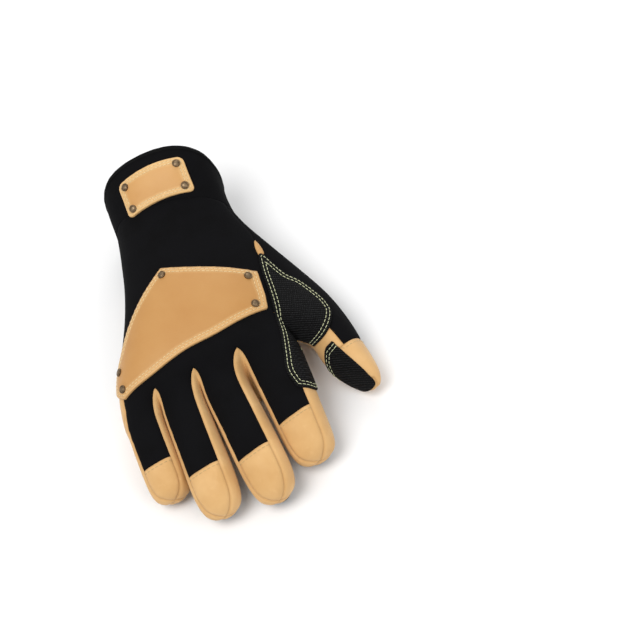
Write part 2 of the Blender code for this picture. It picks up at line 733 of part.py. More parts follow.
def bowed_plate(length, height, corner, bow, tilt):
    """A rectangle with rounded corners, its long sides bowed up and the whole of it tilted."""
    outline = []
    for sx, sy in ((1, 1), (-1, 1), (-1, -1), (1, -1)):
        turns = (0.0, 0.5, 1.0) if sx == sy else (1.0, 0.5, 0.0)
        for turn in turns:
            angle = turn * math.pi / 2
            x = sx * (length / 2 - corner + corner * math.cos(angle))
            y = sy * (height / 2 - corner + corner * math.sin(angle))
            outline.append(bowed(x, y, length, bow, tilt))
        if sx == sy:
            outline += [bowed(x * share, y, length, bow, tilt) for share in (0.4, -0.4)]
    return outline


def bowed(x, y, length, bow, tilt):
    y = y + bow * (1 - (2 * x / length) ** 2)
    return x * math.cos(tilt) - y * math.sin(tilt), x * math.sin(tilt) + y * math.cos(tilt)


def egg(half_width, half_length):
    """An oval that is narrower at its upper end."""
    outline = []
    for k in range(PAD_SIDES):
        angle = 2 * math.pi * k / PAD_SIDES
        outline.append((half_width * math.cos(angle) * (1 - 0.16 * math.sin(angle)), half_length * math.sin(angle)))
    return outline


def build():
    form, names, sheets = hand_form(FORM_LEVEL)
    for panel, name in enumerate(names):
        look = SOFT_BLACK if name in (CUFF, BACK, THUMB_BACK) else LEATHER
        finish(name, panel_shell(form, panel, SHELL_WALL), look)

    across = Vector((1, 0, 0))
    knuckle = sheet_facing(hand_place(*KNUCKLE_PLACE), Vector(KNUCKLE_FACING).normalized(), across)
    outline = [(x * KNUCKLE_LENGTH, y * KNUCKLE_LENGTH) for x, y in KNUCKLE_OUTLINE]
    patch = finish(
        "knuckle_patch", laid_on(form, knuckle, outline, PATCH_THICKNESS), PATCH_LEATHER
    )
    places = [(x * KNUCKLE_LENGTH, y * KNUCKLE_LENGTH) for x, y in KNUCKLE_RIVETS]
    add_rivets("knuckle_rivet", patch, knuckle, places)

    plate = sheet_facing(cuff_place(*CUFF_PATCH_PLACE), Vector(CUFF_PATCH_FACING).normalized(), across)
    outline = bowed_plate(CUFF_PATCH_LENGTH, CUFF_PATCH_HEIGHT, CUFF_PATCH_CORNER, CUFF_PATCH_BOW, CUFF_PATCH_TILT)
    patch = finish("cuff_patch", laid_on(form, plate, outline, PATCH_THICKNESS), PATCH_LEATHER)
    x, y = CUFF_PATCH_LENGTH / 2 - CUFF_RIVET_INSET, CUFF_PATCH_HEIGHT / 2 - CUFF_RIVET_INSET
    places = [
        bowed(sx * x, sy * y, CUFF_PATCH_LENGTH, CUFF_PATCH_BOW, CUFF_PATCH_TILT)
        for sx, sy in ((-1, 1), (1, 1), (1, -1), (-1, -1))
    ]
    add_rivets("cuff_rivet", patch, plate, places)

    web = sheet_facing(hand_place(*WEB_PLACE), Vector(WEB_FACING).normalized(), across)
    outline = [(x * WEB_LENGTH, y * WEB_LENGTH) for x, y in WEB_OUTLINE]
    finish("web_patch", laid_on(form, web, outline, GRIP_THICKNESS), GRIP_BLACK)
    outline = [(x * WEB_LENGTH, y * WEB_LENGTH) for x, y in GUSSET_OUTLINE]
    finish("web_gusset", laid_on(form, web, outline, GRIP_THICKNESS), LEATHER)

    for finger in FINGERS:
        half_width = PALM_BREADTH / 8 * finger.breadth * PAD_WIDTH_SHARE
        outline = egg(half_width, PAD_LENGTH / 2 * finger.breadth)
        pad = laid_on(form, sheets[finger.name], outline, GRIP_THICKNESS)
        finish(finger.name + "_pad", pad, GRIP_BLACK)
    outline = [(x * THUMB_PAD_LENGTH, y * THUMB_PAD_LENGTH) for x, y in THUMB_PAD_OUTLINE]
    pad = laid_on(form, sheets["thumb"], outline, GRIP_THICKNESS)
    finish("thumb_pad", pad, GRIP_BLACK)

    add_binding(form)
    rim = [vert.co for vert in form.verts if vert.is_boundary and abs(vert.co.x - STRAP_PLACE) < 0.012]
    add_strap(max(place.y for place in rim if place.z < CUFF_DEPTH / 4) + SEAM_GAP + BINDING_REACH)
    form.free()


for leftover in list(bpy.data.objects):
    bpy.data.objects.remove(leftover)
build()
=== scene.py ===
"""The looks of an insulated work glove for the right hand, lying on its palm.

Metres, +Z up, +Y to the cuff and +X to the thumb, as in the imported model. The file follows the glove as it
is put together: the sewn shell first, then its binding and lining, the patches with their rivets and thread,
the grip pads and the strap.
"""
import math
from collections import namedtuple
from itertools import combinations

import bpy
import numpy as np
from mathutils import Matrix, Vector, noise
from mathutils.bvhtree import BVHTree
from mathutils.kdtree import KDTree


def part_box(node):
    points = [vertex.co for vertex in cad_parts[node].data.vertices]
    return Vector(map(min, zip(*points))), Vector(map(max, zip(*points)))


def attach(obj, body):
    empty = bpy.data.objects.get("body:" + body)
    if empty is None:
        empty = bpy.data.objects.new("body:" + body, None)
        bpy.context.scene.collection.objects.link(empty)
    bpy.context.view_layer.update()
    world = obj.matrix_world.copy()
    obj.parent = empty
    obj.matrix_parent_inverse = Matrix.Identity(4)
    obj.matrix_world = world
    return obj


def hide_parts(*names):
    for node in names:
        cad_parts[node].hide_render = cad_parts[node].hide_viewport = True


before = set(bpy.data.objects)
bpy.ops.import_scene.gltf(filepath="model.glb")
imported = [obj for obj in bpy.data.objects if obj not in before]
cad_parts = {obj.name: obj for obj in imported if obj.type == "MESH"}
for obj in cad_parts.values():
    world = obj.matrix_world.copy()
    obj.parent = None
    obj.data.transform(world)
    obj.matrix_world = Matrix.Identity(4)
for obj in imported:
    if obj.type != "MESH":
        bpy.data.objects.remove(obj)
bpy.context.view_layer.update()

# The back of the hand, the thumb's back and the cuff: padded black softshell, cut to shape and sewn edge to
# edge. The whole hand is drawn here as a coarse cage and smoothed, and every sewn panel is cut from it.
CUFF_LENGTH = 0.025
CUFF_BREADTH = 0.083
CUFF_DEPTH = 0.070
HAND_LENGTH = 0.123
PALM_BREADTH = 0.114
PALM_DEPTH = 0.054
CROTCH_SLANT = 0.020
CROTCH_RISE = 0.004
HEEL_CURVE = 0.026
ORIGIN_SHARE = 0.146
FINGER_LENGTH = 0.090
FINGER_DEPTH = 0.0275
THUMB_LENGTH = 0.106
THUMB_BREADTH = 0.0285
THUMB_DEPTH = 0.028
WALL = 0.0032
GRIP_THICKNESS = 0.0012
STRAP_THICKNESS = 0.0016
HEEL_SET_BACK = 0.0024
TIP_REST_SHARE = 0.38
REST_EASE = 0.010
REST_LEAD = 1.2
FLOOR_EASE = 0.0003
PAD_SET_BACK = 0.0225
PAD_TILT = 0.20
THUMB_PAD_SET_BACK = 0.001
THUMB_PAD_DOWN = 0.7
THUMB_PAD_AHEAD = 0.35
FORM_LEVEL = 4
BACK_EDGES = 8
RING = 2 * BACK_EDGES + 4
RIGHT_MID = BACK_EDGES + 1
LEFT_MID = RING - 1
FACE_SHARE = 0.90
MIDDLE_SHIFT = 0.10
OCTAGON_SHRINK = 0.902
CORNER = 0.80
LEFT_CORNER = 0.92
LOW_CORNER = 0.60
ROOT_SPREAD = 0.14
ROOT_FADE = 2.2
PALM_SINK = 0.02
CAP_DIP = 0.004
CUFF, BACK, PALM, THUMB_BACK, THUMB_PALM = "cuff", "back_panel", "palm_panel", "thumb_back", "thumb_palm"
Row = namedtuple(
    "Row", "station left right top_left top_right side_left side_right round skew lean slant heel"
)
CUFF_ROWS = (
    Row(1.00, -0.88, 1.14, 0.86, 1.20, 0.46, 0.56, 2.3, -0.13, 0.18, 0.0, 0.0),
    Row(0.50, -0.87, 1.13, 0.82, 1.12, 0.44, 0.54, 2.3, -0.15, 0.10, 0.0, 0.0),
    Row(0.00, -0.82, 1.20, 0.72, 0.90, 0.36, 0.43, 2.2, -0.17, 0.00, 0.2, 0.0),
)
HAND_ROWS = (
    Row(0.84, -0.62, 1.06, 0.98, 1.08, 0.42, 0.54, 2.3, -0.14, 0.0, 0.6, 1.0),
    Row(0.52, -0.68, 1.10, 0.95, 1.08, 0.39, 0.54, 2.4, -0.05, 0.0, 0.4, 0.5),
    Row(0.15, -0.99, 1.12, 0.86, 1.02, 0.34, 0.50, 2.5, 0.08, 0.0, 0.5, 0.0),
    Row(0.07, -1.00, 1.18, 0.82, 0.99, 0.33, 0.48, 2.5, 0.12, 0.0, 0.7, 0.0),
    Row(0.00, -1.01, 1.23, 0.79, 0.96, 0.32, 0.46, 2.5, 0.17, 0.0, 1.0, 0.0),
)
THUMB_ROOT_ROWS = (3, 5)
PINKY_WRAP_ROW = 5
Finger = namedtuple("Finger", "name length breadth splay roll arch flare cap")
FINGERS = (
    Finger("pinky", 0.64, 0.88, 7.2, 8.0, 0.06, 0.00, 0.58),
    Finger("ring", 0.96, 0.98, 6.5, 12.0, 0.08, 0.00, 0.64),
    Finger("middle", 1.03, 1.02, 10.5, 14.0, 0.08, 0.00, 0.64),
    Finger("index", 0.86, 1.02, 10.5, 14.0, 0.08, 0.45, 0.58),
)
# station, and the shares of the finger's breadth and depth there
FINGER_ROWS = (
    (0.08, 0.93, 1.06),
    (0.24, 0.96, 1.00),
    (0.42, 0.98, 0.97),
    (0.60, 1.00, 0.95),
    (0.77, 1.00, 0.90),
    (0.91, 0.87, 0.74),
)
CAP_ROW = 4
# station, heading of the way there and of the ring in degrees, shares of breadth and depth, roll in degrees
THUMB_ROWS = (
    (0.259, -49.8, -21.0, 1.68, 1.12, -14.0),
    (0.400, -49.3, -34.5, 1.20, 1.08, -26.0),
    (0.529, -70.0, -54.0, 1.00, 1.04, -38.0),
    (0.655, -75.0, -66.0, 0.92, 1.00, -44.0),
    (0.815, -63.4, -70.0, 0.63, 0.84, -44.0),
    (0.924, -60.8, -66.0, 0.33, 0.56, -44.0),
    (1.000, -58.3, -66.0, 0.00, 0.00, 0.0),
)
THUMB_CAP_ROW = 4
VALLEY_PLACE = (1.132, 0.113, 0.48)
VALLEY_REACH = 0.016
VALLEY_ROUNDS = 60
# How deep a sewn seam draws the surface in, how wide the groove is, how much the cloth puffs beside it, how
# uneven the seam and the cloth are, and how far a panel's edge turns in
SEAM_DEPTH = 0.0006
SOFT_SEAM_DEPTH = 0.0004
SEAM_WIDTH = 0.0012
PUFF = 0.00025
PUFF_REACH = 0.006
SEAM_UNEVEN, SEAM_UNEVEN_SIZE = 0.35, 0.004
CLOTH_WAVE, CLOTH_WAVE_SIZE = 0.0004, 0.028
TURN_IN = 0.0026
TURN_SHARES = (0.25, 1.0)
SOFT_BLACK = (0.0045, 0.0045, 0.0052)


def hand_place(across, along, up):
    """A place in shares of half the palm's breadth, of the length from the crotches, and of the depth."""
    return Vector((across * PALM_BREADTH / 2, (along - ORIGIN_SHARE) * HAND_LENGTH, up * PALM_DEPTH))


def cuff_place(across, along, up):
    """A place in shares of half the cuff's breadth, of its length from the wrist, and of its depth."""
    wrist = (1 - ORIGIN_SHARE) * HAND_LENGTH
    return Vector((across * CUFF_BREADTH / 2, wrist + along * CUFF_LENGTH, up * CUFF_DEPTH))


def heel_end():
    return hand_place(0, HAND_ROWS[0].station, 0).y - HEEL_SET_BACK


def ring_shares():
    return [FACE_SHARE * (2 * k / BACK_EDGES - 1) for k in range(BACK_EDGES + 1)]


def section(y, row, half_breadth, depth):
    """One ring round the hand: its back from the left, the right side, its palm, the left side."""
    left, right = row.left * half_breadth, row.right * half_breadth
    centre, half = (left + right) / 2, (right - left) / 2
    slant = row.slant * CROTCH_SLANT

    def height(share, low, high):
        return depth * (low + (high - low) * (share + 1) / 2)

    def place(share, z, forward):
        x = centre + half * (share - MIDDLE_SHIFT * (1 - share * share))
        return Vector((x, y - forward + row.skew * (x - centre) + row.lean * (z - depth / 2), z))

    back, palm = [], []
    for share in ring_shares():
        side = height(share, row.side_left, row.side_right)
        top = height(share, row.top_left, row.top_right)
        fullness = (1 - abs(share) ** row.round) ** (1 / row.round)
        back.append(place(share, side + (top - side) * fullness, 0.0))
        heel = row.heel * HEEL_CURVE * (0.5 - share * share)
        palm.append(place(share, side - (PALM_SINK * depth + side) * fullness, slant - heel))
    ends = [place(share, height(share, row.side_left, row.side_right), slant / 2) for share in (-1, 1)]
    return back + [ends[1]] + palm[::-1] + [ends[0]]


def hand_rings():
    cuff = [section(cuff_place(0, row.station, 0).y, row, CUFF_BREADTH / 2, CUFF_DEPTH) for row in CUFF_ROWS]
    return cuff + [
        section(hand_place(0, row.station, 0).y, row, PALM_BREADTH / 2, PALM_DEPTH) for row in HAND_ROWS
    ]


def mean(points):
    return sum(points, Vector((0.0, 0.0, 0.0))) / len(points)


def digit_ring(centre, along, right, up, half_breadth, half_depth, slant, spread=1.0):
    wide, deep = half_breadth / OCTAGON_SHRINK, half_depth / OCTAGON_SHRINK
    corners = (
        (-LEFT_CORNER * spread, LOW_CORNER), (0, 1), (CORNER * spread, CORNER), (1, 0),
        (CORNER, -CORNER), (0, -1), (-CORNER, -CORNER), (-1, 0),
    )
    return [centre + right * (wide * a) + up * (deep * b) - along * (slant * b) for a, b in corners]


# A flat sheet facing a place on the hand, on which a patch's outline is drawn
Sheet = namedtuple("Sheet", "origin right up normal")


def sheet_facing(origin, facing, right=(1, 0, 0)):
    normal, right = Vector(facing).normalized(), Vector(right)
    across = (right - normal * right.dot(normal)).normalized()
    return Sheet(origin, across, normal.cross(across), normal)


class Cage:
    """The coarse hand: points, faces and the panel that each face belongs to."""

    def __init__(self):
        self.points, self.faces, self.panels, self.sheets = [], [], [], {}

    def add(self, points):
        start = len(self.points)
        self.points += points
        return list(range(start, len(self.points)))

    def face(self, corners, panel, turned):
        self.faces.append(corners[::-1] if turned else corners)
        self.panels.append(panel)

    def join(self, near, far, panels, skip=(), turned=False):
        count = len(near)
        for k in range(count):
            if k not in skip:
                after = (k + 1) % count
                self.face((near[k], far[k], far[after], near[after]), panels[k], turned)

    def cap(self, ring, tip, panels, turned=False):
        centre = self.add([tip])[0]
        for quarter, panel in zip(range(4), panels):
            k = 2 * quarter
            self.face((ring[k], centre, ring[(k + 2) % 8], ring[k + 1]), panel, turned)


def hand_panels(band):
    if band < 2:
        return [CUFF] * RING
    radial = [THUMB_BACK, THUMB_BACK] if band < THUMB_ROOT_ROWS[0] else [BACK, PALM]
    palm = [CUFF if band < THUMB_ROOT_ROWS[0] else PALM] * BACK_EDGES
    ulnar = [BACK, BACK] if band < PINKY_WRAP_ROW else [PALM, PALM]
    return [BACK] * BACK_EDGES + radial + palm + ulnar


def level_way(degrees):
    """A way on the level, turned from +X towards +Y."""
    return Vector((math.cos(math.radians(degrees)), math.sin(math.radians(degrees)), 0))


def add_finger(cage, finger, ring, sides):
    base = mean([cage.points[k] for k in ring])
    length = FINGER_LENGTH * finger.length
    half_depth = FINGER_DEPTH / 2
    along, across = level_way(finger.splay - 90), level_way(finger.splay)
    tip_height = half_depth * FINGER_ROWS[-1][2] + GRIP_THICKNESS + FLOOR_EASE
    cap = finger.name + "_cap"
    near = ring
    for number, (station, breadth, depth) in enumerate(FINGER_ROWS):
        if number == CAP_ROW - 1:
            station = finger.cap
        flare = finger.flare * (1 - station) ** 2
        half_breadth = PALM_BREADTH / 8 * finger.breadth * breadth
        centre = base + along * (length * station) + across * (half_breadth * flare / 2)
        arch = 4 * station * (1 - station) * finger.arch * length
        centre.z = base.z + (tip_height - base.z) * station + arch
        roll = Matrix.Rotation(math.radians(finger.roll), 3, along)
        up = roll @ Vector((0, 0, 1))
        root = max(0.0, 1 - ROOT_FADE * station)
        points = digit_ring(
            centre, along, roll @ across, up, half_breadth * (1 + flare / 2), half_depth * depth,
            CROTCH_SLANT / 2 * root, 1 + ROOT_SPREAD * root
        )
        if number == CAP_ROW - 1:
            points[1] += along * CAP_DIP
        far = cage.add(points)
        back = BACK if number < CAP_ROW else cap
        cage.join(near, far, [back, back, sides[0], sides[0], PALM, PALM, sides[1], sides[1]])
        near = far
    tip = base + along * length
    tip.z = tip_height
    cage.sheets[finger.name] = sheet_facing(tip - along * PAD_SET_BACK, along * PAD_TILT - up, across)
    cage.cap(near, tip, [cap, sides[0], PALM, sides[1]])


def add_thumb(cage, ring):
    place = mean([cage.points[k] for k in ring])
    root_height = place.z
    tip_height = THUMB_DEPTH / 2 * THUMB_ROWS[-2][4] + GRIP_THICKNESS + FLOOR_EASE
    near, last = ring, 0.0
    for number, (station, heading, facing, breadth, depth, roll) in enumerate(THUMB_ROWS):
        place = place + level_way(heading) * (THUMB_LENGTH * (station - last))
        place.z = root_height + (tip_height - root_height) * station
        last = station
        if not breadth:
            break
        level = level_way(facing)
        along = Vector((level.x, level.y, (tip_height - root_height) / THUMB_LENGTH)).normalized()
        inward = Matrix.Rotation(math.radians(roll), 3, along) @ Vector((level.y, -level.x, 0))
        up = along.cross(inward)
        up = -up if up.z < 0 else up
        half_breadth, half_depth = THUMB_BREADTH / 2 * breadth, THUMB_DEPTH / 2 * depth
        if number == THUMB_CAP_ROW:
            towards = inward - up * THUMB_PAD_DOWN + along * THUMB_PAD_AHEAD
            cage.sheets["thumb"] = sheet_facing(place - along * THUMB_PAD_SET_BACK, towards, up)
        far = cage.add(digit_ring(place, along, inward, up, half_breadth, half_depth, 0.0))
        back = THUMB_BACK if number < THUMB_CAP_ROW else "thumb_cap"
        inner = THUMB_PALM if number < THUMB_CAP_ROW else "thumb_cap"
        cage.join(near, far, [back, back, inner] + [THUMB_PALM] * 3 + [back, back], turned=True)
        near = far
    cage.cap(near, place, ["thumb_cap", THUMB_PALM, THUMB_PALM, "thumb_cap"], turned=True)


def hand_cage():
    cage = Cage()
    rings = [cage.add(points) for points in hand_rings()]
    for band in range(len(rings) - 1):
        in_root = THUMB_ROOT_ROWS[0] <= band < THUMB_ROOT_ROWS[1]
        skip = (BACK_EDGES, BACK_EDGES + 1) if in_root else ()
        cage.join(rings[band], rings[band + 1], hand_panels(band), skip)
    last = rings[-1]
    base_back = [last[k] for k in range(BACK_EDGES + 1)]
    base_palm = [last[RING - 2 - k] for k in range(BACK_EDGES + 1)]
    walls = [last[LEFT_MID]]
    for k in range(2, BACK_EDGES, 2):
        cage.points[base_back[k]].y += CROTCH_RISE
        walls += cage.add([cage.points[base_back[k]].lerp(cage.points[base_palm[k]], 0.5)])
    walls.append(last[RIGHT_MID])
    names = ["pinky_side"] + ["fourchette_" + pair for pair in ("ring_pinky", "middle_ring", "index_middle")]
    names.append("index_side")
    for number, finger in enumerate(FINGERS):
        k = 2 * number
        ring = [
            base_back[k], base_back[k + 1], base_back[k + 2], walls[number + 1],
            base_palm[k + 2], base_palm[k + 1], base_palm[k], walls[number],
        ]
        add_finger(cage, finger, ring, (names[number + 1], names[number]))
    first, middle, end = (rings[k] for k in range(THUMB_ROOT_ROWS[0], THUMB_ROOT_ROWS[1] + 1))
    corner, side, under = BACK_EDGES, RIGHT_MID, RIGHT_MID + 1
    add_thumb(cage, [
        first[corner], middle[corner], end[corner], end[side],
        end[under], middle[under], first[under], first[side],
    ])
    return cage


def floor_height(points):
    """How low each point may hang: the palm on the floor, the cuff on its strap, the tips on their pads."""
    tips = hand_place(0, 0, 0).y - TIP_REST_SHARE * FINGER_LENGTH
    to_cuff = np.clip((points[:, 1] - heel_end()) / REST_EASE + REST_LEAD, 0, 1)
    to_tips = np.clip((tips - points[:, 1]) / REST_EASE, 0, 1)
    return np.maximum((STRAP_THICKNESS + FLOOR_EASE) * to_cuff, (GRIP_THICKNESS + FLOOR_EASE) * to_tips)


def surface_normals(points, faces):
    """Smooth normals of a surface of triangles or quads."""
    corners = points[faces]
    across = np.cross(corners[:, 2] - corners[:, 0], corners[:, -1] - corners[:, 1])
    normals = np.zeros_like(points)
    for k in range(faces.shape[1]):
        np.add.at(normals, faces[:, k], across)
    return normals / np.maximum(np.linalg.norm(normals, axis=1, keepdims=True), 1e-12)


def ragged(points, size, seed):
    """Smooth noise between -1 and 1 at each point; size is how wide its bumps are."""
    shift = Vector((seed * 17.3, seed * 7.1, 0))
    return np.array([noise.noise(Vector(point) / size + shift) for point in points])


def placed(name, data):
    item = bpy.data.objects.new(name, data)
    bpy.context.scene.collection.objects.link(item)
    return item


def smoothed_cage(cage, level):
    """The cage's smooth surface: points, quads and each quad's panel number."""
    names = sorted(set(cage.panels))
    mesh = bpy.data.meshes.new("hand")
    mesh.from_pydata(cage.points, [], cage.faces)
    mesh.polygons.foreach_set("material_index", [names.index(panel) for panel in cage.panels])
    holder = placed("hand", mesh)
    smooth = holder.modifiers.new("smooth", "SUBSURF")
    smooth.levels = smooth.render_levels = level
    bpy.context.view_layer.update()
    result = holder.evaluated_get(bpy.context.evaluated_depsgraph_get()).data
    read = []
    for items, measure, width, kind in (
        (result.vertices, "co", 3, float), (result.loops, "vertex_index", 1, int),
        (result.polygons, "material_index", 1, int),
    ):
        read.append(np.empty(len(items) * width, dtype=kind))
        items.foreach_get(measure, read[-1])
    bpy.data.objects.remove(holder)
    return read[0].reshape(-1, 3), read[1].reshape(-1, 4), read[2], names


def relaxed(points, faces, centre, reach, rounds):
    """The surface with the hollow round one place evened out."""
    share = np.clip(1 - np.linalg.norm(points - centre, axis=1) / reach, 0, 1)
    edges = np.concatenate([faces[:, [k, (k + 1) % 4]] for k in range(4)])
    edges = edges[(share[edges] > 0).any(axis=1)]
    count = np.bincount(edges[:, 0], minlength=len(points))
    for _ in range(rounds):
        total = np.zeros_like(points)
        np.add.at(total, edges[:, 0], points[edges[:, 1]])
        middle = total / np.maximum(count, 1)[:, None]
        points = points + (middle - points) * np.minimum(share * 2, 1)[:, None] * (count > 0)[:, None]
    return points


cage = hand_cage()
hand_points, hand_quads, hand_panel, panel_names = smoothed_cage(cage, FORM_LEVEL)
valley = np.array(hand_place(*VALLEY_PLACE))
hand_points = relaxed(hand_points, hand_quads, valley, VALLEY_REACH, VALLEY_ROUNDS)
hand_normals = surface_normals(hand_points, hand_quads)
hand_points += hand_normals * (ragged(hand_points, CLOTH_WAVE_SIZE, 1) * CLOTH_WAVE)[:, None]
hand_points[:, 2] = np.maximum(hand_points[:, 2], floor_height(hand_points))
hand_normals = surface_normals(hand_points, hand_quads)


def nearest_of(points, marks):
    """Distance from each point to the nearest of the marked points, and which one it is."""
    tree = KDTree(len(marks))
    for k, mark in enumerate(marks):
        tree.insert(mark, k)
    tree.balance()
    found = [tree.find(point)[1:] for point in points]
    return np.array([f[1] for f in found]), np.array([f[0] for f in found])


def seam_points(first=None, second=None):
    """The points where two panels meet, or where the two named panels meet."""
    count = len(hand_points)
    touches = np.zeros((count, len(panel_names)), dtype=bool)
    for k in range(4):
        touches[hand_quads[:, k], hand_panel] = True
    if first is None:
        return touches.sum(axis=1) > 1
    return touches[:, panel_names.index(first)] & touches[:, panel_names.index(second)]


SOFT_PANELS = (CUFF, BACK, THUMB_BACK)
seams = np.flatnonzero(seam_points())
soft_seams = np.any([seam_points(a, b) for a, b in combinations(SOFT_PANELS, 2)], axis=0)
seam_distance, seam_nearest = nearest_of(hand_points, hand_points[seams])
seam_draw = np.where(soft_seams[seams], SOFT_SEAM_DEPTH, SEAM_DEPTH)[seam_nearest]
seam_draw = seam_draw * (1 + SEAM_UNEVEN * ragged(hand_points, SEAM_UNEVEN_SIZE, 2))
lift = PUFF * (1 - np.exp(-(seam_distance / PUFF_REACH) ** 2))
lift -= seam_draw * np.exp(-(seam_distance / SEAM_WIDTH) ** 2)
shell_points = hand_points + hand_normals * lift[:, None]
shell_points[:, 2] = np.maximum(shell_points[:, 2], floor_height(hand_points))
shell_normals = surface_normals(shell_points, hand_quads)


class Finish:
    """A material that is put together one node at a time."""

    def __init__(self, name, roughness, metallic=0.0, sheen=0.0, sheen_tint=(1, 1, 1), specular=0.5):
        self.material = bpy.data.materials.new(name)
        self.material.use_nodes = True
        self.tree = self.material.node_tree
        self.shader = self.tree.nodes["Principled BSDF"]
        for socket, value in (
            ("Roughness", roughness), ("Metallic", metallic), ("Specular IOR Level", specular),
            ("Sheen Weight", sheen), ("Sheen Tint", sheen_tint),
        ):
            self.put(self.shader.inputs[socket], value)
        self.place = self.node("ShaderNodeTexCoord").outputs["Object"]
        self.surface = None

    def node(self, kind, **settings):
        made = self.tree.nodes.new(kind)
        for name, value in settings.items():
            setattr(made, name, value)
        return made

    def put(self, socket, value):
        if isinstance(value, bpy.types.NodeSocket):
            self.tree.links.new(value, socket)
        elif isinstance(value, tuple):
            socket.default_value = (*value, 1)[:len(socket.default_value)]
        else:
            socket.default_value = value

    def math(self, operation, *values):
        made = self.node("ShaderNodeMath", operation=operation)
        for socket, value in zip(made.inputs, values):
            self.put(socket, value)
        return made.outputs[0]

    def times(self, a, b):
        return self.math("MULTIPLY", a, b)

    def plus(self, a, b):
        return self.math("ADD", a, b)

    def minus(self, a, b):
        return self.math("SUBTRACT", a, b)

    def size_of(self, a):
        return self.math("ABSOLUTE", a)

    def parts(self, vector):
        made = self.node("ShaderNodeSeparateXYZ")
        self.put(made.inputs[0], vector)
        return made.outputs

    def blend(self, share, a, b):
        made = self.node("ShaderNodeMix", data_type="RGBA")
        self.put(made.inputs["Factor"], share)
        self.put(made.inputs[6], a)
        self.put(made.inputs[7], b)
        return made.outputs[2]

    def cloudy(self, size, detail=2.0):
        made = self.node("ShaderNodeTexNoise")
        self.put(made.inputs["Vector"], self.place)
        made.inputs["Scale"].default_value = 1 / size
        made.inputs["Detail"].default_value = detail
        return made.outputs["Fac"]

    def cells(self, size, feature="F1"):
        made = self.node("ShaderNodeTexVoronoi", feature=feature)
        self.put(made.inputs["Vector"], self.place)
        made.inputs["Scale"].default_value = 1 / size
        return made.outputs["Distance"]

    def over(self, value, low, high, to_low=0.0, to_high=1.0):
        made = self.node("ShaderNodeMapRange")
        for socket, number in zip(made.inputs, (value, low, high, to_low, to_high)):
            self.put(socket, number)
        return made.outputs[0]

    def kept(self, name):
        """A measure that the mesh keeps at each point, in millimetres."""
        return self.node("ShaderNodeAttribute", attribute_name=name).outputs["Fac"]

    def bump(self, height, depth, strength=1.0):
        made = self.node("ShaderNodeBump")
        made.inputs["Strength"].default_value = strength
        made.inputs["Distance"].default_value = depth
        self.put(made.inputs["Height"], height)
        if self.surface:
            self.put(made.inputs["Normal"], self.surface)
        self.surface = made.outputs["Normal"]
        self.put(self.shader.inputs["Normal"], self.surface)

    def colour(self, value):
        self.put(self.shader.inputs["Base Color"], value)

    def roughness(self, value):
        self.put(self.shader.inputs["Roughness"], value)


def toned(colour, *shares):
    """A colour with its red, green and blue each times a share, or all times one."""
    return tuple(min(1.0, part * share) for part, share in zip(colour, shares * 3))


def softshell_finish():
    """Black stretch softshell: a fine tight knit with a slight nap, a little darker in patches."""
    cloth = Finish("softshell", 0.95, sheen=0.008, specular=0.04)
    knit = cloth.cells(0.00055)
    worn = cloth.over(cloth.cloudy(0.018, 4.0), 0.45, 0.75)
    base = cloth.blend(worn, SOFT_BLACK, (0.0034, 0.0033, 0.0035))
    # painted highlight: the knit's raised loops are given a slightly lighter black
    cloth.colour(cloth.blend(cloth.over(knit, 0.1, 0.6, 0.0, 0.35), base, (0.0052, 0.0050, 0.0054)))
    cloth.bump(knit, 0.00012, 0.55)
    cloth.bump(cloth.cloudy(0.006, 3.0), 0.0003, 0.35)
    return cloth.material


def mesh_object(name, points, faces, material, kept=None):
    """A smooth mesh with the named measures kept at its points."""
    mesh = bpy.data.meshes.new(name)
    mesh.from_pydata([tuple(point) for point in points], [], [tuple(face) for face in faces])
    mesh.polygons.foreach_set("use_smooth", [True] * len(mesh.polygons))
    for label, values in (kept or {}).items():
        mesh.attributes.new(label, "FLOAT", "POINT").data.foreach_set("value", values)
    mesh.materials.append(material)
    return placed(name, mesh)


def settle(piece, slot, *nodes):
    """Every piece rides on the one body and may stand for solids; its slot is not used."""
    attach(piece, "root")
    if nodes:
        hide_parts(*nodes)


def open_edges(faces):
    """The directed edges that only one face has."""
    size = faces.shape[1]
    edges = np.concatenate([faces[:, [k, (k + 1) % size]] for k in range(size)])
    keys = np.sort(edges, axis=1)
    _, first, count = np.unique(keys, axis=0, return_index=True, return_counts=True)
    return edges[first[count == 1]]


def border_of(faces, count):
    """The open edges of some faces, the points along them and, for each point, its place among those."""
    edges = open_edges(faces)
    border = np.unique(edges)
    number = np.full(count, -1)
    number[border] = np.arange(len(border))
    return edges, border, number


def panel_piece(name, material, slot):
    """One sewn panel with its edges turned in at the seams."""
    quads = hand_quads[hand_panel == panel_names.index(name)]
    used, quads = np.unique(quads, return_inverse=True)
    quads = quads.reshape(-1, 4)
    points, normals = shell_points[used], shell_normals[used]
    edges, border, number = border_of(quads, len(used))
    a, b = number[edges[:, 0]], number[edges[:, 1]]
    depth = np.where(seam_points()[used][border], TURN_IN, WALL)[:, None]
    rings, faces, last = [points], [quads], border
    for turn, share in enumerate(TURN_SHARES):
        rings.append(points[border] - normals[border] * depth * share)
        fresh = len(used) + turn * len(border) + np.arange(len(border))
        faces.append(np.stack([last[b], last[a], fresh[a], fresh[b]], axis=1))
        last = fresh
    distance = np.concatenate([seam_distance[used]] + [seam_distance[used][border]] * len(TURN_SHARES)) * 1000
    points, faces = np.concatenate(rings), np.concatenate(faces)
    settle(mesh_object(name + "_shell", points, faces, material, {"seam": distance}), slot, name)


softshell = softshell_finish()
for name in SOFT_PANELS:
    panel_piece(name, softshell, "softshell")

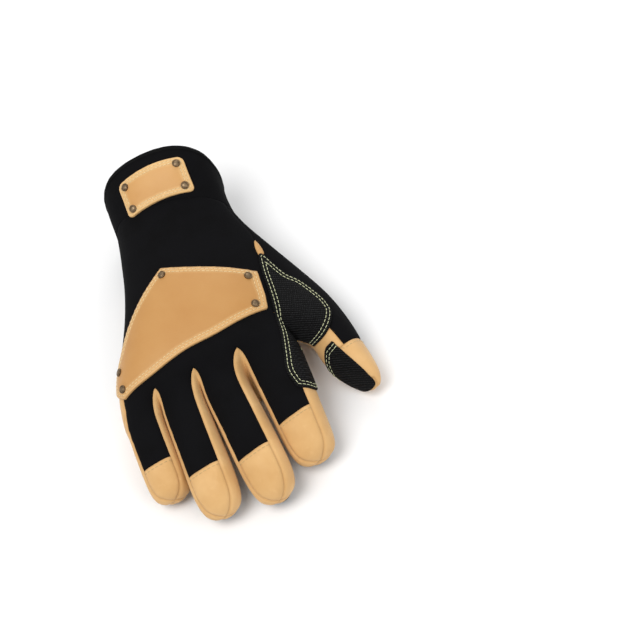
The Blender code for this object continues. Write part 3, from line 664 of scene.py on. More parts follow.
# The palm, fingers and thumb: light tan grain leather, soft and matt, sewn inside out so that its seams turn
# in. The palm side carries a printed tread of darker lozenges that alternate in direction.
LEATHER_TAN = (0.645, 0.395, 0.165)
TREAD_BROWN = (0.47, 0.20, 0.065)
TREAD_PITCH = 0.0067
TREAD_HALF_LENGTH = 0.0043
TREAD_HALF_WIDTH = 0.00145


def leather_finish(name, tan, tread=False):
    """Grain leather: fine pores, soft creases, a painted shade darkening it along its seams and a few paler
    rubbed places.
    """
    hide = Finish(name, 0.62, sheen=0.15, sheen_tint=(1.0, 0.9, 0.75), specular=0.35)
    mottle = hide.over(hide.cloudy(0.022, 5.0), 0.3, 0.7)
    base = hide.blend(mottle, toned(tan, 0.86, 0.80, 0.70), tan)
    rubbed = hide.over(hide.cloudy(0.007, 4.0), 0.58, 0.75)
    base = hide.blend(hide.times(rubbed, 0.35), base, toned(tan, 1.07, 1.12, 1.25))
    # painted shade: the leather is darkened along each seam, as if shadowed in its crease
    seam_shade = hide.over(hide.kept("seam"), 0.0, 1.3, 0.45, 0.0)
    base = hide.blend(seam_shade, base, toned(tan, 0.66, 0.56, 0.42))
    pores = hide.cells(0.0009, "DISTANCE_TO_EDGE")
    if tread:
        x, y, _ = hide.parts(hide.place)
        u = hide.times(hide.plus(x, y), 0.5 / TREAD_PITCH)
        v = hide.times(hide.minus(x, y), 0.5 / TREAD_PITCH)
        shapes = []
        for shift, lengthways in ((0.0, True), (0.5, False)):
            du = hide.minus(hide.math("FRACT", hide.plus(u, 0.5 + shift)), 0.5)
            dv = hide.minus(hide.math("FRACT", hide.plus(v, 0.5 + shift)), 0.5)
            dx = hide.size_of(hide.times(hide.plus(du, dv), TREAD_PITCH))
            dy = hide.size_of(hide.times(hide.minus(du, dv), TREAD_PITCH))
            long, short = (dx, dy) if lengthways else (dy, dx)
            reach = hide.math("POWER", hide.math("DIVIDE", long, TREAD_HALF_LENGTH), 2.0)
            shapes.append(hide.plus(reach, hide.math("DIVIDE", short, TREAD_HALF_WIDTH)))
        lozenge = hide.over(hide.math("MINIMUM", *shapes), 0.85, 1.05, 1.0, 0.0)
        facing_up = hide.parts(hide.node("ShaderNodeNewGeometry").outputs["Normal"])[2]
        lozenge = hide.times(lozenge, hide.over(facing_up, -0.60, -0.40, 1.0, 0.0))
        patchy = hide.over(hide.cloudy(0.0012, 3.0), 0.25, 0.5, 0.55, 1.0)
        base = hide.blend(hide.times(lozenge, patchy), base, TREAD_BROWN)
        hide.bump(lozenge, 0.0004, 0.6)
    hide.colour(base)
    hide.bump(hide.over(pores, 0.0, 0.12), 0.00006, 0.5)
    hide.bump(hide.cloudy(0.0045, 4.0), 0.0004, 0.30)
    hide.roughness(hide.over(hide.cloudy(0.010, 3.0), 0.3, 0.7, 0.55, 0.72))
    return hide.material


tread_leather = leather_finish("tread_leather", LEATHER_TAN, tread=True)
plain_leather = leather_finish("tan_leather", LEATHER_TAN)
panel_piece(PALM, tread_leather, "tan_leather")
panel_piece(THUMB_PALM, plain_leather, "tan_leather")

# The walls between the fingers and along the outer sides, and the five fingertip caps: the same leather,
# sewn to the softshell along the back of each finger.
for name in panel_names:
    if name.startswith("fourchette") or name.endswith("_side") or name.endswith("_cap"):
        panel_piece(name, plain_leather, "tan_leather")

# The binding: black woven tape folded over the cuff's open edge and sewn through.
BINDING_FALL = 0.0022
BINDING_SKIN = 0.0004
BINDING_GAP = 0.0003
PUCKER, PUCKER_SIZE = 0.0002, 0.005


def chained(edges):
    """Edges joined end to end into loops or lines of point numbers."""
    links = {}
    for a, b in edges:
        links.setdefault(a, []).append(b)
        links.setdefault(b, []).append(a)
    left = set(links)
    chains = []
    while left:
        start = next((k for k in left if len(links[k]) == 1), None)
        start = next(iter(left)) if start is None else start
        chain = [start]
        left.discard(start)
        while True:
            onward = [k for k in links[chain[-1]] if k in left]
            if not onward:
                break
            chain.append(onward[0])
            left.discard(onward[0])
        closed = len(chain) > 2 and chain[0] in links[chain[-1]]
        chains.append((chain, closed))
    return chains


def webbing_finish(name, colour, rib):
    tape = Finish(name, 0.9, sheen=0.02, specular=0.06)
    ribs = tape.cells(rib)
    raised = tuple(part * 1.8 + 0.002 for part in colour)
    tape.colour(tape.blend(tape.over(ribs, 0.1, 0.7, 0.0, 0.6), colour, raised))
    tape.bump(ribs, 0.0003, 0.6)
    return tape.material


def banded(rings, size):
    """The quads between rings of points that close on themselves."""
    return [
        (start + k, start + (k + 1) % size, start + (k + 1) % size + size, start + k + size)
        for start in range(0, (rings - 1) * size, size) for k in range(size)
    ]


rim_loop = np.array(chained(open_edges(hand_quads))[0][0])
rim = shell_points[rim_loop]
rim_out = hand_normals[rim_loop]
rim_way = np.roll(rim, -1, axis=0) - np.roll(rim, 1, axis=0)
rim_on = np.cross(rim_way, rim_out)
rim_on /= np.linalg.norm(rim_on, axis=1, keepdims=True)
rim_on *= np.sign(rim_on[:, 1:2].mean())
# out from the cuff's surface and on past its edge
fold = [
    (BINDING_GAP, -BINDING_FALL), (BINDING_SKIN, -BINDING_FALL + BINDING_GAP), (BINDING_SKIN, -BINDING_SKIN),
    (-0.0002, 0.0008), (-WALL / 2, 0.0012), (-WALL + 0.0002, 0.0008), (-WALL - BINDING_SKIN, -BINDING_SKIN),
    (-WALL - BINDING_SKIN, -BINDING_FALL), (-WALL, -BINDING_FALL),
]
pucker = ragged(rim, PUCKER_SIZE, 5) * PUCKER
rings = [rim + rim_out * (out + pucker)[:, None] + rim_on * on for out, on in fold]
tape_black = webbing_finish("binding_tape", (0.0028, 0.0028, 0.003), 0.0006)
binding = mesh_object("cuff_binding", np.concatenate(rings), banded(len(fold), len(rim)), tape_black)
settle(binding, "binding_tape", "rim_binding")

# The lining: grey fleece, brushed on its inside, sewn in along the cuff's edge and into every finger.
LINING_GREY = (0.075, 0.075, 0.08)
LINING_TUCK = 0.0009
TUCK_REACH, TUCK_EASE = 0.006, 0.003
NAP, NAP_UNEVEN, NAP_SIZE = 0.0002, 0.0004, 0.012


def fleece_finish():
    pile = Finish("fleece", 1.0, sheen=0.3, specular=0.02)
    tufts = pile.cells(0.0011)
    pile.colour(pile.blend(pile.over(tufts, 0.1, 0.7), LINING_GREY, (0.12, 0.12, 0.125)))
    pile.bump(tufts, 0.0004, 0.6)
    pile.bump(pile.cloudy(0.0024, 5.0), 0.0005, 0.4)
    return pile.material


lining_points, lining_quads, _, _ = smoothed_cage(cage, 3)
lining_points[:, 2] = np.maximum(lining_points[:, 2], floor_height(lining_points))
lining_normals = surface_normals(lining_points, lining_quads)
to_rim, _ = nearest_of(lining_points, rim)
tucked = np.clip((TUCK_REACH - to_rim) / TUCK_EASE, 0, 1)
nap = NAP + NAP_UNEVEN * ragged(lining_points, NAP_SIZE, 4)
inner = lining_points - lining_normals * (WALL + nap * (1 - tucked) - LINING_TUCK * tucked)[:, None]
settle(mesh_object("fleece_lining", inner, lining_quads[:, ::-1], fleece_finish()), "softshell")

# The knuckle and cuff patches: thick burnished leather, orange-brown in the middle and paler where the edge
# was cut, sewn on with two rows of pale thread and held at the corners with antique brass rivets.
PATCH_THICKNESS = 0.0018
PATCH_SWELL, SWELL_REACH = 0.0005, 0.008
# how far a laid piece stands off the hand, how deep its foot goes in, and the height its edge keeps
LAID_GAP = 0.0003
LAID_FOOT = 0.0004
EDGE_ROUND = 0.6
EDGE_HEIGHT = 0.55
ROW_SINK, ROW_WIDTH = 0.00018, 0.0005
CUT_SNAP = 0.00004
FACING_LEAST = -0.05
KNUCKLE_PLACE = (0.0, 0.268, 0.89)
KNUCKLE_FACING = (-0.28, -0.03, 0.96)
KNUCKLE_LENGTH = 0.104
KNUCKLE_REACH = 0.075
# across, up and whether it is a corner; shares of the patch's length
KNUCKLE_OUTLINE = (
    (-0.042, 0.397, 1), (0.490, 0.211, 1), (0.498, 0.035, 1), (0.490, -0.062, 1), (0.203, -0.167, 0),
    (-0.012, -0.212, 0), (-0.249, -0.291, 0), (-0.481, -0.351, 1), (-0.545, -0.275, 0), (-0.535, -0.170, 0),
    (-0.450, -0.050, 0), (-0.386, 0.050, 0), (-0.317, 0.141, 0), (-0.200, 0.264, 0),
)
KNUCKLE_RIVETS = ((-0.038, 0.340), (0.448, 0.176), (0.446, -0.030), (-0.478, -0.160), (-0.474, -0.290))
CUFF_PATCH_PLACE = (0.10, 0.42, 0.86)
CUFF_PATCH_FACING = (-0.15, -0.35, 0.92)
CUFF_PATCH_REACH = 0.045
CUFF_PATCH_LENGTH = 0.048
CUFF_PATCH_HEIGHT = 0.0245
CUFF_PATCH_CORNER = 0.0035
CUFF_PATCH_BOW = 0.003
CUFF_PATCH_TILT = 0.07
CUFF_RIVET_INSET = 0.0045
STITCH_ROWS = (0.0019, 0.0037)
STITCH_PITCH = 0.0029
STITCH_LENGTH = 0.0025
THREAD_WIDTH = 0.0004
THREAD_HEIGHT, THREAD_BOW = 0.42, 4.2
# where along a stitch, and how thick the thread is there
STITCH_PROFILE = (
    (-0.5, 0.5), (-0.44, 0.85), (-0.25, 1.0), (0.0, 1.0), (0.25, 1.0), (0.44, 0.85), (0.5, 0.5),
)
KNUCKLE_BROWN = (0.47, 0.245, 0.078)
KNUCKLE_MARGIN = (0.58, 0.335, 0.13)
CUFF_PATCH_TAN = (0.57, 0.315, 0.112)
CUFF_PATCH_MARGIN = (0.66, 0.41, 0.17)
THREAD_CREAM = (0.80, 0.64, 0.35)


def halved(quads):
    return np.concatenate([quads[:, [0, 1, 2]], quads[:, [0, 2, 3]]])


def rounded(outline, steps=6):
    """A smooth closed line through the outline's points, with its corners left sharp."""
    points = [np.array(point[:2]) for point in outline]
    count = len(points)
    line = []
    for k in range(count):
        a, b = points[k], points[(k + 1) % count]
        start = (b - a) if outline[k][2] else (b - points[k - 1]) / 2
        end = (b - a) if outline[(k + 1) % count][2] else (points[(k + 2) % count] - a) / 2
        for step in range(steps):
            t = step / steps
            line.append(
                a * (2 * t ** 3 - 3 * t ** 2 + 1) + start * (t ** 3 - 2 * t ** 2 + t)
                + b * (3 * t ** 2 - 2 * t ** 3) + end * (t ** 3 - t ** 2)
            )
    return np.array(line)


def depth_inside(outline, x, y):
    """How far each place lies inside a closed outline, less than nought outside it."""
    place = np.stack([x, y], axis=1)
    least = np.full(len(x), 1e9)
    within = np.zeros(len(x), dtype=bool)
    for a, b in zip(outline, np.roll(outline, -1, axis=0)):
        way = b - a
        share = np.clip((place - a) @ way / max(way @ way, 1e-18), 0, 1)
        least = np.minimum(least, np.linalg.norm(place - a - share[:, None] * way, axis=1))
        if a[1] != b[1]:
            crosses = (a[1] > y) != (b[1] > y)
            within ^= crosses & (x < a[0] + (y - a[1]) / (b[1] - a[1]) * way[0])
    return np.where(within, least, -least)


def trimmed(triangles, field):
    """Cuts triangles along field = 0. Each new point is given as two old ones and a share between them."""
    field = np.where(abs(field) < CUT_SNAP, 0.0, field)
    kept = field >= 0
    state = kept[triangles].sum(axis=1)
    sources, numbers = [], {}

    def number(a, b=None, share=0.0):
        key = (a, a if b is None else b)
        if key not in numbers:
            numbers[key] = len(sources)
            sources.append((*key, share))
        return numbers[key]

    def crossing(a, b):
        a, b = (a, b) if a < b else (b, a)
        share = field[a] / (field[a] - field[b])
        return number(a, b, share) if 0 < share < 1 else number(a if share <= 0 else b)

    faces = [tuple(number(k) for k in corners) for corners in triangles[state == 3].tolist()]
    for corners in triangles[(state == 1) | (state == 2)].tolist():
        lone_kept = sum(kept[k] for k in corners) == 1
        first = next(n for n in range(3) if kept[corners[n]] == lone_kept)
        a, b, c = corners[first], corners[(first + 1) % 3], corners[(first + 2) % 3]
        ab, ac = crossing(a, b), crossing(a, c)
        if lone_kept:
            made = [(number(a), ab, ac)]
        else:
            made = [(ab, number(b), number(c)), (ab, number(c), ac)]
        faces += [face for face in made if len(set(face)) == 3]
    return sources, np.array(faces)


def one_island(points, faces, place):
    """The faces joined to the one nearest a place."""
    corners = [[] for _ in points]
    for number, face in enumerate(faces.tolist()):
        for k in face:
            corners[k].append(number)
    start = int(np.argmin(np.linalg.norm(points[faces].mean(axis=1) - place, axis=1)))
    found, edge = {start}, [start]
    while edge:
        for k in faces[edge.pop()].tolist():
            for other in corners[k]:
                if other not in found:
                    found.add(other)
                    edge.append(other)
    faces = faces[sorted(found)]
    used, faces = np.unique(faces, return_inverse=True)
    return used, faces.reshape(-1, 3)


# A patch as laid on the hand: its own top points, the way out, its triangles and how deep inside its edge
Laid = namedtuple("Laid", "top normals faces inside")


def on_sheet(points, sheet):
    """Where points are along a sheet's right, its up and its normal."""
    offset = points - np.array(sheet.origin)
    return offset @ np.array(sheet.right), offset @ np.array(sheet.up), offset @ np.array(sheet.normal)


hand_triangles = halved(hand_quads)


def laid_patch(name, sheet, outline, reach, thickness, swell, material, slot):
    """A cut piece that follows the hand under its outline, its edge rounded over and sunk to the shell."""
    x, y, h = on_sheet(hand_points, sheet)
    faces_it = hand_normals @ np.array(sheet.normal) > FACING_LEAST
    near = (np.sqrt(x * x + y * y + h * h) < reach) & (abs(h) < reach / 2) & faces_it
    triangles = hand_triangles[near[hand_triangles].all(axis=1)]
    field = np.full(len(hand_points), -1.0)
    used = np.unique(triangles)
    field[used] = depth_inside(outline, x[used], y[used])
    sources, faces = trimmed(triangles, field)
    a, b, share = (np.array(column) for column in zip(*sources))
    share = share[:, None]

    def carried(values):
        return values[a] * (1 - share) + values[b] * share

    points, normals = carried(hand_points), carried(hand_normals)
    inside = np.maximum(carried(field[:, None])[:, 0], 0)
    used, faces = one_island(points, faces, np.array(sheet.origin))
    points, normals, inside = points[used], normals[used], inside[used]
    normals /= np.linalg.norm(normals, axis=1, keepdims=True)
    roll = np.sqrt(1 - (1 - np.clip(inside / (thickness * EDGE_ROUND), 0, 1)) ** 2)
    groove = sum(np.exp(-((inside - row) / ROW_WIDTH) ** 2) for row in STITCH_ROWS) * ROW_SINK
    swelled = swell * (1 - np.exp(-(inside / SWELL_REACH) ** 2))
    rise = LAID_GAP + thickness * (EDGE_HEIGHT + (1 - EDGE_HEIGHT) * roll) + swelled - groove
    top = points + normals * rise[:, None]
    edges, border, number = border_of(faces, len(points))
    foot = points[border] - normals[border] * LAID_FOOT
    k, m = edges.T
    foot_k, foot_m = len(points) + number[k], len(points) + number[m]
    skirt = [np.stack([m, k, foot_k], axis=1), np.stack([m, foot_k, foot_m], axis=1)]
    every = np.concatenate([faces] + skirt)
    kept = np.concatenate([inside, np.zeros(len(border))]) * 1000
    settle(mesh_object(name, np.concatenate([top, foot]), every, material, {"edge": kept}), slot, name)
    return Laid(top, surface_normals(top, faces), faces, inside)


def contour(laid, depth, values):
    """Lines on a surface where a measure has one value, each as points and outward ways."""
    values = np.where(values == depth, 1e-9, values - depth)
    above = values > 0
    mixed = laid.faces[(above[laid.faces].sum(axis=1) % 3) > 0]
    numbers, steps = {}, []
    for corners in mixed.tolist():
        pairs = [tuple(sorted((corners[k], corners[(k + 1) % 3]))) for k in range(3)]
        steps.append([numbers.setdefault((a, b), len(numbers)) for a, b in pairs if above[a] != above[b]])
    a, b = np.array(list(numbers), dtype=int).reshape(-1, 2).T
    share = (values[a] / (values[a] - values[b]))[:, None]
    spots = laid.top[a] * (1 - share) + laid.top[b] * share
    ways = laid.normals[a] * (1 - share) + laid.normals[b] * share
    chains = [chain + chain[:1] if closed else chain for chain, closed in chained(steps)]
    return [(spots[chain], ways[chain]) for chain in chains]


def contours(laid, depths, values=None):
    values = laid.inside if values is None else values
    return [line for depth in depths for line in contour(laid, depth, values)]


def stitch_shape():
    """One short length of thread, bowed, with both ends dipping into the needle holes."""
    points = []
    for s, share in STITCH_PROFILE:
        thick = THREAD_WIDTH / 2 * share
        height = THREAD_WIDTH * (THREAD_HEIGHT - THREAD_BOW * s * s)
        for k in range(6):
            angle = math.pi * k / 3
            points.append((s * STITCH_LENGTH, thick * math.cos(angle), height + thick * math.sin(angle)))
    return np.array(points), np.array(banded(len(STITCH_PROFILE), 6))


def thread_finish(name, colour):
    thread = Finish(name, 0.7, sheen=0.25, specular=0.3)
    twist = thread.cloudy(0.0007, 2.0)
    thread.colour(thread.blend(thread.over(twist, 0.35, 0.65), toned(colour, 0.78), colour))
    thread.bump(twist, 0.0001, 0.6)
    return thread.material


def unit(way):
    return way / max(np.linalg.norm(way), 1e-9)


def stitched(name, lines, material, slot):
    """Thread sewn along lines of points: one mesh of single stitches at an even pitch."""
    shape, shape_faces = stitch_shape()
    points, faces = [], []
    for spots, ways in lines:
        run = np.concatenate([[0], np.cumsum(np.linalg.norm(np.diff(spots, axis=0), axis=1))])
        count = int(run[-1] / STITCH_PITCH)
        if count < 2:
            continue

        def at(place, values):
            return np.array([np.interp(place, run, values[:, k]) for k in range(3)])

        for middle in (np.arange(count) + 0.5) * run[-1] / count:
            along = unit(at(middle + STITCH_LENGTH / 2, spots) - at(middle - STITCH_LENGTH / 2, spots))
            side = unit(np.cross(at(middle, ways), along))
            faces.append(shape_faces + len(points) * len(shape))
            points.append(at(middle, spots) + shape @ np.stack([along, side, np.cross(along, side)]))
    points = np.concatenate(points)
    points[:, 2] = np.maximum(points[:, 2], 0)
    settle(mesh_object(name, points, np.concatenate(faces), material), slot)


def patch_finish(name, middle, margin):
    """Burnished leather: deeper brown inside the stitching, paler and dry along the cut edge."""
    hide = Finish(name, 0.55, sheen=0.08, specular=0.3)
    edge = hide.kept("edge")
    cloud = hide.over(hide.cloudy(0.030, 4.0), 0.3, 0.7)
    centre = hide.blend(cloud, toned(middle, 0.92, 0.86, 0.78), middle)
    spread = hide.plus(edge, hide.over(hide.cloudy(0.012, 3.0), 0.0, 1.0, -0.7, 0.7))
    base = hide.blend(hide.over(spread, 3.2, 5.4), margin, centre)
    rows = [hide.size_of(hide.minus(edge, row * 1000)) for row in STITCH_ROWS]
    pressed = hide.over(hide.math("MINIMUM", *rows), 0.15, 0.7, 1.0, 0.0)
    base = hide.blend(hide.times(pressed, 0.3), base, toned(middle, 0.5))
    rim_dark = hide.over(edge, 0.0, 0.4, 0.5, 0.0)
    hide.colour(hide.blend(rim_dark, base, toned(middle, 0.55)))
    scuffs = hide.over(hide.cloudy(0.003, 5.0), 0.6, 0.8)
    hide.roughness(hide.over(scuffs, 0.0, 1.0, 0.46, 0.66))
    hide.bump(hide.over(hide.cells(0.0008, "DISTANCE_TO_EDGE"), 0.0, 0.12), 0.00005, 0.45)
    hide.bump(hide.cloudy(0.004, 4.0), 0.00035, 0.25)
    return hide.material


def bowed_plate():
    """The cuff patch's outline, a rectangle with rounded corners, bowed and a little tilted."""
    outline = []
    across, up = CUFF_PATCH_LENGTH / 2 - CUFF_PATCH_CORNER, CUFF_PATCH_HEIGHT / 2 - CUFF_PATCH_CORNER
    for sx, sy, first in ((1, 1, 0), (-1, 1, 90), (-1, -1, 180), (1, -1, 270)):
        for step in range(7):
            spot = level_way(first + 15 * step) * CUFF_PATCH_CORNER
            outline.append((sx * across + spot.x, sy * up + spot.y))
        if first in (0, 180):
            shares = (0.3, 0.15, 0, -0.15, -0.3)
            outline += [(sx * CUFF_PATCH_LENGTH * share, sy * CUFF_PATCH_HEIGHT / 2) for share in shares]
    return np.array([bowed(x, y) for x, y in outline])


def bowed(x, y):
    y = y + CUFF_PATCH_BOW * (1 - (2 * x / CUFF_PATCH_LENGTH) ** 2)
    spot = Matrix.Rotation(CUFF_PATCH_TILT, 2) @ Vector((x, y))
    return spot.x, spot.y


RIVET_RADIUS = 0.0027
RIVET_HEIGHT = 0.0013
RIVET_SIDES = 32
RAY_START = 0.05
# radius and height as shares: a rolled rim, a narrow groove and a broad low dome in the middle
RIVET_PROFILE = (
    (0.94, -0.20), (1.00, 0.10), (1.00, 0.42), (0.96, 0.64), (0.89, 0.74), (0.82, 0.68), (0.76, 0.56),
    (0.70, 0.56), (0.62, 0.68), (0.50, 0.80), (0.36, 0.89), (0.20, 0.94), (0.08, 0.96), (0.02, 0.96),
)


def brass_finish():
    """Antique brass, browned in its dish and rubbed bright on the rim."""
    metal = Finish("antique_brass", 0.48, metallic=1.0)
    age = metal.over(metal.cloudy(0.0012, 4.0), 0.35, 0.7)
    raised = metal.over(metal.kept("raised"), 0.45, 0.95)
    old = metal.blend(age, (0.075, 0.045, 0.022), (0.16, 0.10, 0.055))
    metal.colour(metal.blend(metal.times(raised, 0.6), old, (0.34, 0.25, 0.155)))
    metal.roughness(metal.over(age, 0.0, 1.0, 0.40, 0.60))
    metal.bump(metal.cloudy(0.0006, 3.0), 0.0001, 0.3)
    return metal.material


def add_rivets(name, patch, sheet, places, material):
    """Turned rivets pressed into a patch, standing square on it."""
    tree = BVHTree.FromPolygons([tuple(p) for p in patch.top], patch.faces.tolist())
    for count, (x, y) in enumerate(places, 1):
        start = sheet.origin + sheet.right * x + sheet.up * y + sheet.normal * RAY_START
        place, normal, _, _ = tree.ray_cast(start, -sheet.normal)
        turn = normal.to_track_quat("Z", "Y").to_matrix()
        points, raised = [], []
        for radius, height in RIVET_PROFILE:
            for k in range(RIVET_SIDES):
                spot = level_way(360 * k / RIVET_SIDES) * (radius * RIVET_RADIUS)
                spot.z = height * RIVET_HEIGHT
                points.append(place + turn @ spot)
                raised.append(height)
        faces = banded(len(RIVET_PROFILE), RIVET_SIDES)
        faces.append(tuple(range(len(points) - RIVET_SIDES, len(points))))
        piece = mesh_object("%s_head_%d" % (name, count), points, faces, material, {"raised": raised})
        settle(piece, "antique_brass", "%s_%d" % (name, count))


knuckle_leather = patch_finish("knuckle_leather", KNUCKLE_BROWN, KNUCKLE_MARGIN)
cuff_leather = patch_finish("cuff_patch_leather", CUFF_PATCH_TAN, CUFF_PATCH_MARGIN)
cream_thread = thread_finish("cream_thread", THREAD_CREAM)
brass = brass_finish()
knuckle_sheet = sheet_facing(hand_place(*KNUCKLE_PLACE), KNUCKLE_FACING)
knuckle = laid_patch(
    "knuckle_patch", knuckle_sheet, rounded(KNUCKLE_OUTLINE) * KNUCKLE_LENGTH, KNUCKLE_REACH, PATCH_THICKNESS,
    PATCH_SWELL, knuckle_leather, "burnished_leather"
)
stitched("knuckle_stitching", contours(knuckle, STITCH_ROWS), cream_thread, "burnished_leather")
places = [(x * KNUCKLE_LENGTH, y * KNUCKLE_LENGTH) for x, y in KNUCKLE_RIVETS]
add_rivets("knuckle_rivet", knuckle, knuckle_sheet, places, brass)

plate_sheet = sheet_facing(cuff_place(*CUFF_PATCH_PLACE), CUFF_PATCH_FACING)
plate = laid_patch(
    "cuff_patch", plate_sheet, bowed_plate(), CUFF_PATCH_REACH, PATCH_THICKNESS, PATCH_SWELL, cuff_leather,
    "burnished_leather"
)
stitched("cuff_patch_stitching", contours(plate, STITCH_ROWS), cream_thread, "burnished_leather")
x, y = CUFF_PATCH_LENGTH / 2 - CUFF_RIVET_INSET, CUFF_PATCH_HEIGHT / 2 - CUFF_RIVET_INSET
places = [bowed(sx * x, sy * y) for sx, sy in ((-1, 1), (1, 1), (1, -1), (-1, -1))]
add_rivets("cuff_rivet", plate, plate_sheet, places, brass)

# The web patch and the gusset above it: black grip fabric laid over the valley between hand and thumb, sewn
# with two rows of lime thread, and a small tan leather wedge where it starts.
WEB_PLACE = (1.228, 0.227, 0.556)
WEB_FACING = (0.50, -0.25, 0.83)
WEB_LENGTH = 0.102
WEB_REACH = 0.080
WEB_ROWS = (0.0016, 0.0037)
# the part of its edge that lies in the valley's fold, in shares of its length
FOLD_SIDE, FOLD_TOP, FOLD_END = -0.12, -0.285, -0.52
GUSSET_THICKNESS = 0.0009
WEB_OUTLINE = (
    (-0.117, 0.418, 0), (-0.080, 0.414, 0), (-0.004, 0.254, 0), (0.072, 0.175, 0), (0.145, 0.035, 0),
    (0.165, -0.039, 0), (0.163, -0.094, 0), (0.125, -0.176, 0), (0.073, -0.245, 0), (0.010, -0.275, 0),
    (-0.029, -0.284, 1), (-0.041, -0.412, 0), (-0.045, -0.559, 1), (-0.100, -0.578, 0), (-0.216, -0.549, 1),
    (-0.236, -0.431, 0), (-0.211, -0.304, 0), (-0.178, -0.160, 0), (-0.160, -0.010, 0), (-0.150, 0.140, 0),
    (-0.141, 0.294, 0),
)
GUSSET_OUTLINE = (
    (-0.094, 0.549, 1), (-0.075, 0.490, 0), (-0.073, 0.424, 1), (-0.114, 0.426, 1), (-0.112, 0.490, 0),
)
THREAD_LIME = (0.68, 0.70, 0.42)
# the ribs and the warp: how they turn with x and y, their pitch and their least height
RIBS = ((0.3, 1.0, 0.0016, 0.0), (1.0, -0.3, 0.0011, 0.45))


def grip_finish():
    """Black grip fabric: coarse crosswise ribs cut by a finer warp, their raised tops lightened unevenly as a
    painted highlight.
    """
    cloth = Finish("grip_fabric", 0.8, specular=0.12)
    x, y, z = cloth.parts(cloth.place)
    ribs = []
    for slant, rise, pitch, least in RIBS:
        run = cloth.plus(cloth.times(x, slant), cloth.times(y, rise))
        run = cloth.plus(run, cloth.times(z, 0.5))
        run = cloth.plus(run, cloth.times(cloth.cloudy(0.006, 2.0), 0.0010))
        wave = cloth.size_of(cloth.math("SINE", cloth.times(run, math.pi / pitch)))
        ribs.append(cloth.over(wave, 0.0, 1.0, least, 1.0))
    weave = cloth.times(*ribs)
    speck = cloth.over(cloth.cloudy(0.0009, 3.0), 0.45, 0.7)
    # painted highlight: the ribs' raised tops are lightened, flecked unevenly by noise
    rib_highlight = cloth.times(cloth.over(weave, 0.45, 0.95), cloth.plus(speck, 0.45))
    cloth.colour(cloth.blend(rib_highlight, (0.0012, 0.0012, 0.0013), (0.024, 0.024, 0.025)))
    cloth.bump(weave, 0.0009, 0.9)
    return cloth.material


grip = grip_finish()
lime_thread = thread_finish("lime_thread", THREAD_LIME)
web_sheet = sheet_facing(hand_place(*WEB_PLACE), WEB_FACING)
outline = rounded(WEB_OUTLINE) * WEB_LENGTH
web = laid_patch("web_patch", web_sheet, outline, WEB_REACH, GRIP_THICKNESS, 0.0, grip, "grip_fabric")


def sewn_parts(lines, keep):
    """The parts of some lines whose points pass a test."""
    parts = []
    for spots, ways in lines:
        ends = np.flatnonzero(np.diff(np.concatenate([[0], keep(spots).astype(int), [0]])))
        parts += [(spots[a:b], ways[a:b]) for a, b in zip(ends[::2], ends[1::2]) if b - a > 1]
    return parts


def off_the_fold(spots):
    """The strip down the index finger isn't stitched along its edge in the valley."""
    x, y, _ = on_sheet(spots, web_sheet)
    return (x < FOLD_SIDE * WEB_LENGTH) | (y > FOLD_TOP * WEB_LENGTH) | (y < FOLD_END * WEB_LENGTH)


stitched("web_stitching", sewn_parts(contours(web, WEB_ROWS), off_the_fold), lime_thread, "grip_fabric")
outline = rounded(GUSSET_OUTLINE) * WEB_LENGTH
laid_patch("web_gusset", web_sheet, outline, WEB_REACH, GUSSET_THICKNESS, 0.0, plain_leather, "tan_leather")

# The grip pads on the five fingertips: the same fabric, cut as an egg, tucked into the seams and sewn down
# with two rows of lime thread across the end towards the palm.
PAD_LENGTH = 0.026
PAD_WIDTH_SHARE = 0.80
PAD_TAPER = 0.16
PAD_REACH = 0.030
PAD_ROWS = (0.0014, 0.0032)
PAD_ROWS_BELOW = 0.0042
THUMB_PAD_LENGTH = 0.040
THUMB_PAD_OUTLINE = (
    (0.21, 0.63, 1), (0.08, 0.63, 0), (-0.06, 0.52, 0), (-0.16, 0.4, 0), (-0.22, 0.22, 0), (-0.22, 0, 0),
    (-0.16, -0.18, 0), (-0.04, -0.29, 0), (0.09, -0.34, 0), (0.18, -0.3, 0), (0.235, -0.1, 0),
    (0.25, 0.13, 0), (0.24, 0.37, 0),
)
# the thumb's pad is stitched only across its upper end, with rows that run out over both of its sides
UPPER_END = (
    (0.60, 0.63), (0.08, 0.63), (-0.06, 0.52), (-0.16, 0.40), (-0.50, -0.01), (-0.50, -1.5), (0.60, -1.5),
)
UPPER_END_ROWS = (0.0020, 0.0042)


def egg(half_width, half_length, steps=40):
    turns = np.arange(steps) * 2 * math.pi / steps
    taper = 1 - PAD_TAPER * np.sin(turns)
    return np.stack([half_width * np.cos(turns) * taper, half_length * np.sin(turns)], axis=1)


def grip_pad(name, outline):
    sheet = cage.sheets[name]
    return laid_patch(name + "_pad", sheet, outline, PAD_REACH, GRIP_THICKNESS, 0.0, grip, "grip_fabric")


for finger in FINGERS:
    half_width = PALM_BREADTH / 8 * finger.breadth * PAD_WIDTH_SHARE
    pad = grip_pad(finger.name, egg(half_width, PAD_LENGTH / 2 * finger.breadth))
    sheet = cage.sheets[finger.name]
    rows = sewn_parts(contours(pad, PAD_ROWS), lambda spots: on_sheet(spots, sheet)[1] < -PAD_ROWS_BELOW)
    stitched(finger.name + "_pad_stitching", rows, lime_thread, "grip_fabric")
thumb_pad = grip_pad("thumb", rounded(THUMB_PAD_OUTLINE) * THUMB_PAD_LENGTH)
x, y, _ = on_sheet(thumb_pad.top, cage.sheets["thumb"])
from_end = depth_inside(np.array(UPPER_END) * THUMB_PAD_LENGTH, x, y)
stitched("thumb_pad_stitching", contours(thumb_pad, UPPER_END_ROWS, from_end), lime_thread, "grip_fabric")

# The row of stitches just inside each fingertip cap, where the leather is turned under and sewn down.
CAP_ROW_DEPTH = 0.0024
THREAD_TAN = (0.47, 0.34, 0.15)


